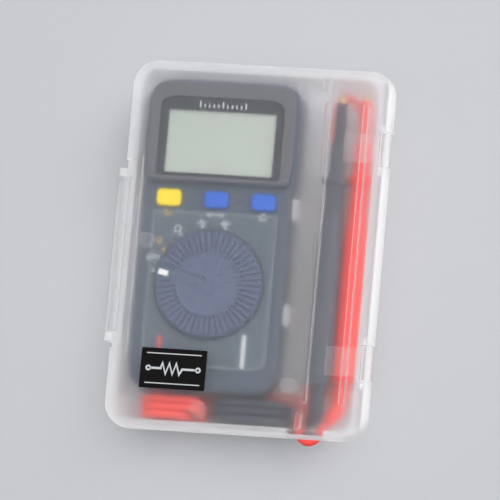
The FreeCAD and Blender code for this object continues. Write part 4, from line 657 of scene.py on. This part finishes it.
HEAD_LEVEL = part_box("meter_front_shell")[1].z - 0.3 * MM
# The housing's sloped flanks are darker as painted shade.
housing_plastic = head_tone_with_painted_flank_shade("housing_plastic", srgb(70, 81, 97), srgb(88, 90, 95), level=HEAD_LEVEL, roughness=0.55,
                           grain=3200, depth=0.012 * MM)
panel_film = plastic("panel_film", srgb(80, 92, 104), roughness=0.42)
dial_plastic = plastic("dial_plastic", srgb(78, 88, 117), roughness=0.45)
marker_plastic = plastic("marker_plastic", srgb(240, 240, 236), roughness=0.4)
yellow_rubber = plastic("yellow_rubber", srgb(252, 220, 0), roughness=0.5, dust=0)
blue_rubber = plastic("blue_rubber", srgb(0, 92, 202), roughness=0.5, dust=0)
label_film = plastic("label_film", srgb(14, 12, 14), roughness=0.3, dust=0, gloss=0.2)
black_grip = plastic("black_grip", srgb(79, 83, 94), roughness=0.5, grain=4000, depth=0.006 * MM, gloss=0.3)
red_grip = plastic("red_grip", srgb(252, 52, 46), roughness=0.4, grain=4000, depth=0.006 * MM)
black_wire = plastic("black_wire", srgb(52, 60, 72), roughness=0.45, grain=2600, depth=0.005 * MM)
red_wire = plastic("red_wire", srgb(253, 78, 70), roughness=0.36, grain=2600, depth=0.005 * MM)
white_plastic = plastic("white_plastic", srgb(226, 226, 221), roughness=0.5, grain=3000, depth=0.006 * MM)
strip_rubber = plastic("strip_rubber", srgb(120, 120, 126), roughness=0.6, grain=6000, depth=0.006 * MM)
black_plastic = plastic("black_plastic", srgb(34, 34, 36), roughness=0.55, grain=4200, depth=0.008 * MM)
blue_plastic = plastic("blue_plastic", srgb(34, 96, 170), roughness=0.35, grain=4200)
ochre_dip = plastic("ochre_dip", srgb(206, 150, 62), roughness=0.4, grain=1600, depth=0.02 * MM)


# %% [markdown]
# ## Metals
#
# Screws, contacts and needle tips are plated or rolled metal. Rolling and turning leave lines one
# way, which show as a streak in the gloss. The drawn lines group gives that streak, and the metal's
# colour sits in the base colour, because a metal has no other.

# %% Metal finishes
LINE_DEPTH = 0.001 * MM


def metal(name, colour, roughness):
    """Rolled or turned metal with lines along its length."""
    material, tree, output = start_material(name)
    drawn = use_group(tree, drawn_group, Colour=colour, Lines=1500, Roughness=roughness, Spread=0.15)
    surface = place(tree, "ShaderNodeBsdfPrincipled", Metallic=1)
    tree.links.new(drawn.outputs["Colour"], surface.inputs["Base Color"])
    tree.links.new(drawn.outputs["Roughness"], surface.inputs["Roughness"])
    tree.links.new(bump(tree, drawn.outputs["Height"], LINE_DEPTH), surface.inputs["Normal"])
    tree.links.new(surface.outputs["BSDF"], output.inputs["Surface"])
    return material


zinc_steel = metal("zinc_steel", srgb(196, 197, 202), roughness=0.28)
spring_brass = metal("spring_brass", srgb(222, 190, 116), roughness=0.22)
nickel_tip = metal("nickel_tip", srgb(235, 208, 158), roughness=0.2)
print("metal finishes:", zinc_steel.name, spring_brass.name, nickel_tip.name)


# %% [markdown]
# ## Display and board
#
# The display is a thin cell of liquid crystal over a dull reflector, seen through a clear acrylic
# lens. The cell is opaque as seen, so it is a pale grey-green plastic with a gloss coat. The lens is
# clear as glass to the shader, smooth, with a few scratches. The board inside is green solder mask
# with copper runs under it.

# %% Display finishes
LENS_ROUGHNESS = 0.03
LENS_PASSES = 0.95
COPPER_RUNS = 700
COPPER_RISE = 0.02 * MM


def clear_lens(name, colour):
    """Polished clear acrylic with a few handling scratches."""
    material, tree, output = start_material(name)
    scratches = use_group(tree, scratch_group, Scale=80, Amount=0.1)
    surface = place(tree, "ShaderNodeBsdfPrincipled", Base_Color=colour, Transmission_Weight=1, IOR=CLEAR_IOR)
    tree.links.new(work_out(tree, "ADD", scratches.outputs["Mask"], LENS_ROUGHNESS), surface.inputs["Roughness"])
    let_lamps_in(tree, output, surface.outputs["BSDF"], LENS_PASSES, colour)
    return material


def board_mask(name, colour, copper):
    """Green solder mask, paler over a grid of copper runs."""
    material, tree, output = start_material(name)
    where = tree.nodes.new("ShaderNodeTexCoord")
    runs = place(tree, "ShaderNodeTexBrick", Color1=colour, Color2=copper, Mortar=colour, Scale=COPPER_RUNS,
                 Mortar_Size=0.03)
    skin = use_group(tree, grain_group, Mottle=0.1, Grain=3000, Roughness=0.25, Spread=0.1)
    surface = place(tree, "ShaderNodeBsdfPrincipled", IOR=PLASTIC_IOR)
    tree.links.new(where.outputs["Object"], runs.inputs["Vector"])
    tree.links.new(runs.outputs["Color"], skin.inputs["Colour"])
    tree.links.new(skin.outputs["Colour"], surface.inputs["Base Color"])
    tree.links.new(skin.outputs["Roughness"], surface.inputs["Roughness"])
    tree.links.new(bump(tree, runs.outputs["Fac"], COPPER_RISE), surface.inputs["Normal"])
    tree.links.new(surface.outputs["BSDF"], output.inputs["Surface"])
    return material


lens_acrylic = clear_lens("lens_acrylic", srgb(248, 250, 250))
display_cell = plastic("display_cell", srgb(203, 210, 198), roughness=0.35, grain=900, mottle=0.02, scratch=0,
                       dust=0, coat=0.4)
green_board = board_mask("green_board", srgb(26, 96, 50), srgb(40, 124, 66))
print("materials so far:", len(bpy.data.materials))


# %% [markdown]
# ## Finishes on the solids
#
# Every CAD node keeps its mesh and only gets a material. A table from finish to nodes reads like a
# bill of materials, and a check at the end catches a node that was forgotten.

# %% Assign the finishes
FINISHES = {
    case_plastic: ["case_lid"],
    tray_plastic: ["case_base"],
    clasp_plastic: ["lid_clasp"],
    label_film: ["lid_label"],
    housing_plastic: ["meter_front_shell", "meter_rear_shell", "battery_door"],
    panel_film: ["face_panel"],
    dial_plastic: ["dial_knob"],
    marker_plastic: ["dial_marker"],
    yellow_rubber: ["select_button"],
    blue_rubber: ["range_button", "hold_button"],
    lens_acrylic: ["display_lens"],
    display_cell: ["display_glass"],
    white_plastic: ["display_holder", "dial_rotor"],
    strip_rubber: ["zebra_strip"],
    green_board: ["circuit_board"],
    black_plastic: ["control_chip", "cell_holder"],
    blue_plastic: ["trimmer"],
    ochre_dip: ["ptc_limiter"],
    zinc_steel: ["case_screws", "board_screws", "door_screw", "coin_cell", "button_domes"],
    spring_brass: ["buzzer_disc", "contact_minus", "contact_plus", "dial_wipers", "detent_leaf"],
    nickel_tip: ["black_probe_tip", "red_probe_tip"],
    black_grip: ["black_probe_handle"],
    red_grip: ["red_probe_handle"],
    black_wire: ["black_gland", "black_probe_boot", "black_probe_sleeve", "black_lead_start",
                 "black_lead_coil", "black_lead_run"],
    red_wire: ["red_gland", "red_probe_boot", "red_probe_sleeve", "red_lead_start", "red_lead_coil",
               "red_lead_run"],
}
finished = set()
for finish, nodes in FINISHES.items():
    for node in nodes:
        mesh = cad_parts[node].data
        mesh.materials.clear()
        mesh.materials.append(finish)
        finished.add(node)
red_lead.data.materials.append(red_wire)
black_lead.data.materials.append(black_wire)
print("nodes without a finish:", sorted(set(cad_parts) - finished))


# %% [markdown]
# ## Printed marks
#
# The marks on the face are screen printed: a film of ink some hundredths of a millimetre thick. A
# texture could carry them, but a thin raised mesh stays sharp at any distance and rides with its
# piece. Each mark is a pen stroke, a line of points given a width and a thickness.

# %% Ink helpers
INK = 0.03 * MM


def pen_sides(points, width, closed):
    """Points to the left and right of a line, mitred at its corners."""
    sides = []
    count = len(points)
    for number, point in enumerate(points):
        before = points[number - 1] if closed or number else point
        after = points[(number + 1) % count] if closed or number < count - 1 else point
        into = (point - before).normalized() if before != point else (after - point).normalized()
        away_from = (after - point).normalized() if after != point else into
        middle = (into + away_from).normalized()
        stretch = 1 / max(middle.dot(into), 0.5)
        side = Vector((-middle.y, middle.x)) * (width / 2 * stretch)
        sides.append((point + side, point - side))
    return sides


def print_marks(name, strokes, level, body, ink):
    """One mesh of raised strokes; a stroke is its points in mm, its width in mm and whether it closes."""
    mesh = bmesh.new()
    for points, width, closed in strokes:
        line = [Vector(point) for point in points]
        rows = []
        for left, right_side in pen_sides(line, width, closed):
            rows.append([mesh.verts.new((spot.x * MM, spot.y * MM, level + height))
                         for spot, height in ((left, INK), (right_side, INK), (right_side, 0), (left, 0))])
        pairs = list(zip(rows, rows[1:])) + ([(rows[-1], rows[0])] if closed else [])
        for here, there in pairs:
            for number in range(4):
                after = (number + 1) % 4
                mesh.faces.new((here[number], here[after], there[after], there[number]))
        if not closed:
            mesh.faces.new(rows[0][::-1])
            mesh.faces.new(rows[-1])
    bmesh.ops.recalc_face_normals(mesh, faces=mesh.faces)
    data = bpy.data.meshes.new(name)
    mesh.to_mesh(data)
    mesh.free()
    data.materials.append(ink)
    piece = bpy.data.objects.new(name, data)
    bpy.context.scene.collection.objects.link(piece)
    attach(piece, body)
    return piece


def arc(centre, radius, start, end, count=16):
    """Points on an arc, its angles in degrees."""
    angles = [math.radians(start + (end - start) * number / count) for number in range(count + 1)]
    return [(centre[0] + radius * math.cos(angle), centre[1] + radius * math.sin(angle)) for angle in angles]


def ring(centre, radius, width):
    """A closed round stroke."""
    return arc(centre, radius, 0, 337.5, 15), width, True


def rounded_frame(low, high, radius, width):
    """A closed stroke round a box with rounded corners; radius lists the lower and the upper corners."""
    lower, upper = radius
    points = (arc((high[0] - lower, low[1] + lower), lower, -90, 0, 6)
              + arc((high[0] - upper, high[1] - upper), upper, 0, 90, 6)
              + arc((low[0] + upper, high[1] - upper), upper, 90, 180, 6)
              + arc((low[0] + lower, low[1] + lower), lower, 180, 270, 6))
    return points, width, True


white_ink = plastic("white_ink", srgb(206, 210, 214), roughness=0.5, dust=0)
yellow_ink = plastic("yellow_ink", srgb(226, 190, 60), roughness=0.5, dust=0)
red_ink = plastic("red_ink", srgb(220, 70, 70), roughness=0.5, dust=0)
grey_ink = plastic("grey_ink", srgb(150, 158, 164), roughness=0.5, dust=0)

# %% Border of the panel
BORDER_INSET = 0.9
BORDER_RADII = (4.1, 0.6)
BORDER_PEN = 0.22
panel_low, panel_high = (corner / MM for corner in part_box("face_panel"))
panel_top = panel_high.z * MM
border = rounded_frame((panel_low.x + BORDER_INSET, panel_low.y + BORDER_INSET),
                       (panel_high.x - BORDER_INSET, panel_high.y - BORDER_INSET), BORDER_RADII, BORDER_PEN)
print_marks("panel_border", [border], panel_top, "case", grey_ink)

# %% Positions round the dial
DOT_RADIUS = 20.5
DOT = 0.45
POSITIONS = {"off": 168.75, "volt": 146.25, "ohm": 123.75, "farad": 101.25, "diode": 78.75}
knob_low, knob_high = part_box("dial_knob")
dial = ((knob_low.x + knob_high.x) / 2 / MM, (knob_low.y + knob_high.y) / 2 / MM)


def on_dial(angle, radius):
    """A point round the dial."""
    turn = math.radians(angle)
    return dial[0] + radius * math.cos(turn), dial[1] + radius * math.sin(turn)


white_dots = [ring(on_dial(angle, DOT_RADIUS), DOT / 2, DOT)
              for name, angle in POSITIONS.items() if name != "volt"]
yellow_dots = [ring(on_dial(POSITIONS["volt"], DOT_RADIUS), DOT / 2, DOT)]
print_marks("position_dots", white_dots, panel_top, "case", white_ink)


# %% Signs of the positions
PEN = 0.32
LETTER_SHIFTS = (-0.3, 1.2)
SIGN_PLACES = {"off": (-20.2, 8.4), "volt": (-18.9, 14.4), "ohm": (-12.7, 19), "farad": (-4.5, 21.6),
               "diode": (3.9, 21.7)}


def moved(strokes, x, y):
    """Strokes moved across the panel, in mm."""
    return [([(px + x, py + y) for px, py in points], width, closed) for points, width, closed in strokes]


def pen(*points, closed=False):
    """A stroke of the usual width through these points."""
    return list(points), PEN, closed


def by_dial(position, strokes):
    """The strokes of a sign, moved to its place beside the dial."""
    x, y = SIGN_PLACES[position]
    return moved(strokes, dial[0] + x, dial[1] + y)


letter_f = [pen((0, -0.9), (0, 0.9), (1, 0.9)), pen((0, 0.05), (0.8, 0.05))]
off_word = [ring((-1.7, 0), 0.75, PEN)]
for shift in LETTER_SHIFTS:
    off_word += moved(letter_f, shift, 0)
volt_sign = [pen((-0.9, 1.2), (0, -1.2), (0.9, 1.2))]
ohm_sign = [pen((-1.2, -1), (-0.45, -1), *arc((0, 0.2), 1.05, 240, -60), (0.45, -1), (1.2, -1))]
farad_sign = [pen((-1.6, 0), (-0.35, 0)), pen((-0.35, -1), (-0.35, 1)), pen((0.35, -1), (0.35, 1)),
              pen((0.35, 0), (1.6, 0))]
diode_sign = [pen((-1.8, 0), (1.8, 0)), pen((-0.8, 0.9), (-0.8, -0.9), (0.7, 0), closed=True),
              pen((0.8, -0.9), (0.8, 0.9))]
signs = (by_dial("off", off_word) + by_dial("ohm", ohm_sign) + by_dial("farad", farad_sign)
         + by_dial("diode", diode_sign))
print_marks("position_signs", signs, panel_top, "case", white_ink)
print_marks("volt_marks", by_dial("volt", volt_sign) + yellow_dots, panel_top, "case", yellow_ink)

# %% Marks under the buttons
LEGEND_Y = 11.7
button_x = {}
for node in ("select_button", "range_button", "hold_button"):
    low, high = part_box(node)
    button_x[node] = (low.x + high.x) / 2 / MM


def under(node, strokes):
    """Strokes moved to the place below a button."""
    return moved(strokes, button_x[node], LEGEND_Y)


wave_points = [(-1.4 + 0.2 * number, 0.55 + 0.35 * math.sin(math.pi * number / 7)) for number in range(15)]
select_mark = [pen(*wave_points), pen((-1.4, -0.5), (1.4, -0.5))]
range_mark = [pen((-1.6, 0.8), (-2.9, 0), (-1.6, -0.8)), pen((-2.6, 0), (2.6, 0)),
              pen((1.6, 0.8), (2.9, 0), (1.6, -0.8))]
hold_mark = [pen((-1.2, -0.8), (1.2, -0.8), (1.2, 0.3), (-1.2, 0.3), closed=True),
             pen((-0.75, 0.3), *arc((0, 0.6), 0.75, 180, 0, 8), (0.75, 0.3))]
print_marks("select_legend", under("select_button", select_mark), panel_top, "case", yellow_ink)
print_marks("key_legends", under("range_button", range_mark) + under("hold_button", hold_mark), panel_top,
            "case", white_ink)

# %% Marks of the leads
RED_MARK = [(-28.05, -31.4), (-28.05, -39.1)]
RED_MARK_WIDTH = 1.1
BLACK_MARK = [(1.45, -29.6), (1.45, -41.1)]
BLACK_MARK_WIDTH = 1.4
print_marks("red_lead_mark", [(RED_MARK, RED_MARK_WIDTH, False)], panel_top, "case", red_ink)
print_marks("black_lead_mark", [(BLACK_MARK, BLACK_MARK_WIDTH, False)], panel_top, "case", white_ink)

# %% Scale over the display
SCALE_STEPS = 10
SCALE_Y = 48.6
TICK_GAP = 1.6
TICK_PEN = 0.4
LONG_TICK, SHORT_TICK = 2.2, 1.3
LONG_EVERY = 5
lens_low, lens_high = (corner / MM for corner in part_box("display_lens"))
scale_x = (lens_low.x + lens_high.x) / 2
ticks = []
for number in range(SCALE_STEPS + 1):
    x = scale_x + TICK_GAP * (number - SCALE_STEPS / 2)
    tall = LONG_TICK if number % LONG_EVERY == 0 else SHORT_TICK
    ticks.append(([(x, SCALE_Y), (x, SCALE_Y + tall)], TICK_PEN, False))
print_marks("bar_scale", ticks, lens_high.z * MM, "case", white_ink)

# %% Print on the lid label
ZIGZAG_PEN = 0.75
ZIGZAG_TEETH = 6
TOOTH_START, TOOTH_GAP, TOOTH_HEIGHT = -3.8, 1.2, 1.9
BAR_PEN = 0.35
BAR_HALF = 9.6
BAR_FROM_MIDDLE = 5.2
END_FROM_MIDDLE, END_RADIUS, END_PEN = 8.7, 0.7, 0.6
label_low, label_high = (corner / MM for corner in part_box("lid_label"))
middle = (label_low + label_high) / 2
zigzag = [(-8, 0), (-4.4, 0)]
for number in range(ZIGZAG_TEETH):
    zigzag.append((TOOTH_START + TOOTH_GAP * number, TOOTH_HEIGHT if number % 2 == 0 else -TOOTH_HEIGHT))
zigzag += [(3.2, 0), (8, 0)]
label_strokes = moved([(zigzag, ZIGZAG_PEN, False)], middle.x, middle.y)
for side in (-1, 1):
    bar_y = middle.y + side * BAR_FROM_MIDDLE
    label_strokes.append(([(middle.x - BAR_HALF, bar_y), (middle.x + BAR_HALF, bar_y)], BAR_PEN, False))
    label_strokes.append(ring((middle.x + side * END_FROM_MIDDLE, middle.y), END_RADIUS, END_PEN))
print_marks("label_print", label_strokes, label_high.z * MM, "lid", white_ink)
print("printed pieces done")
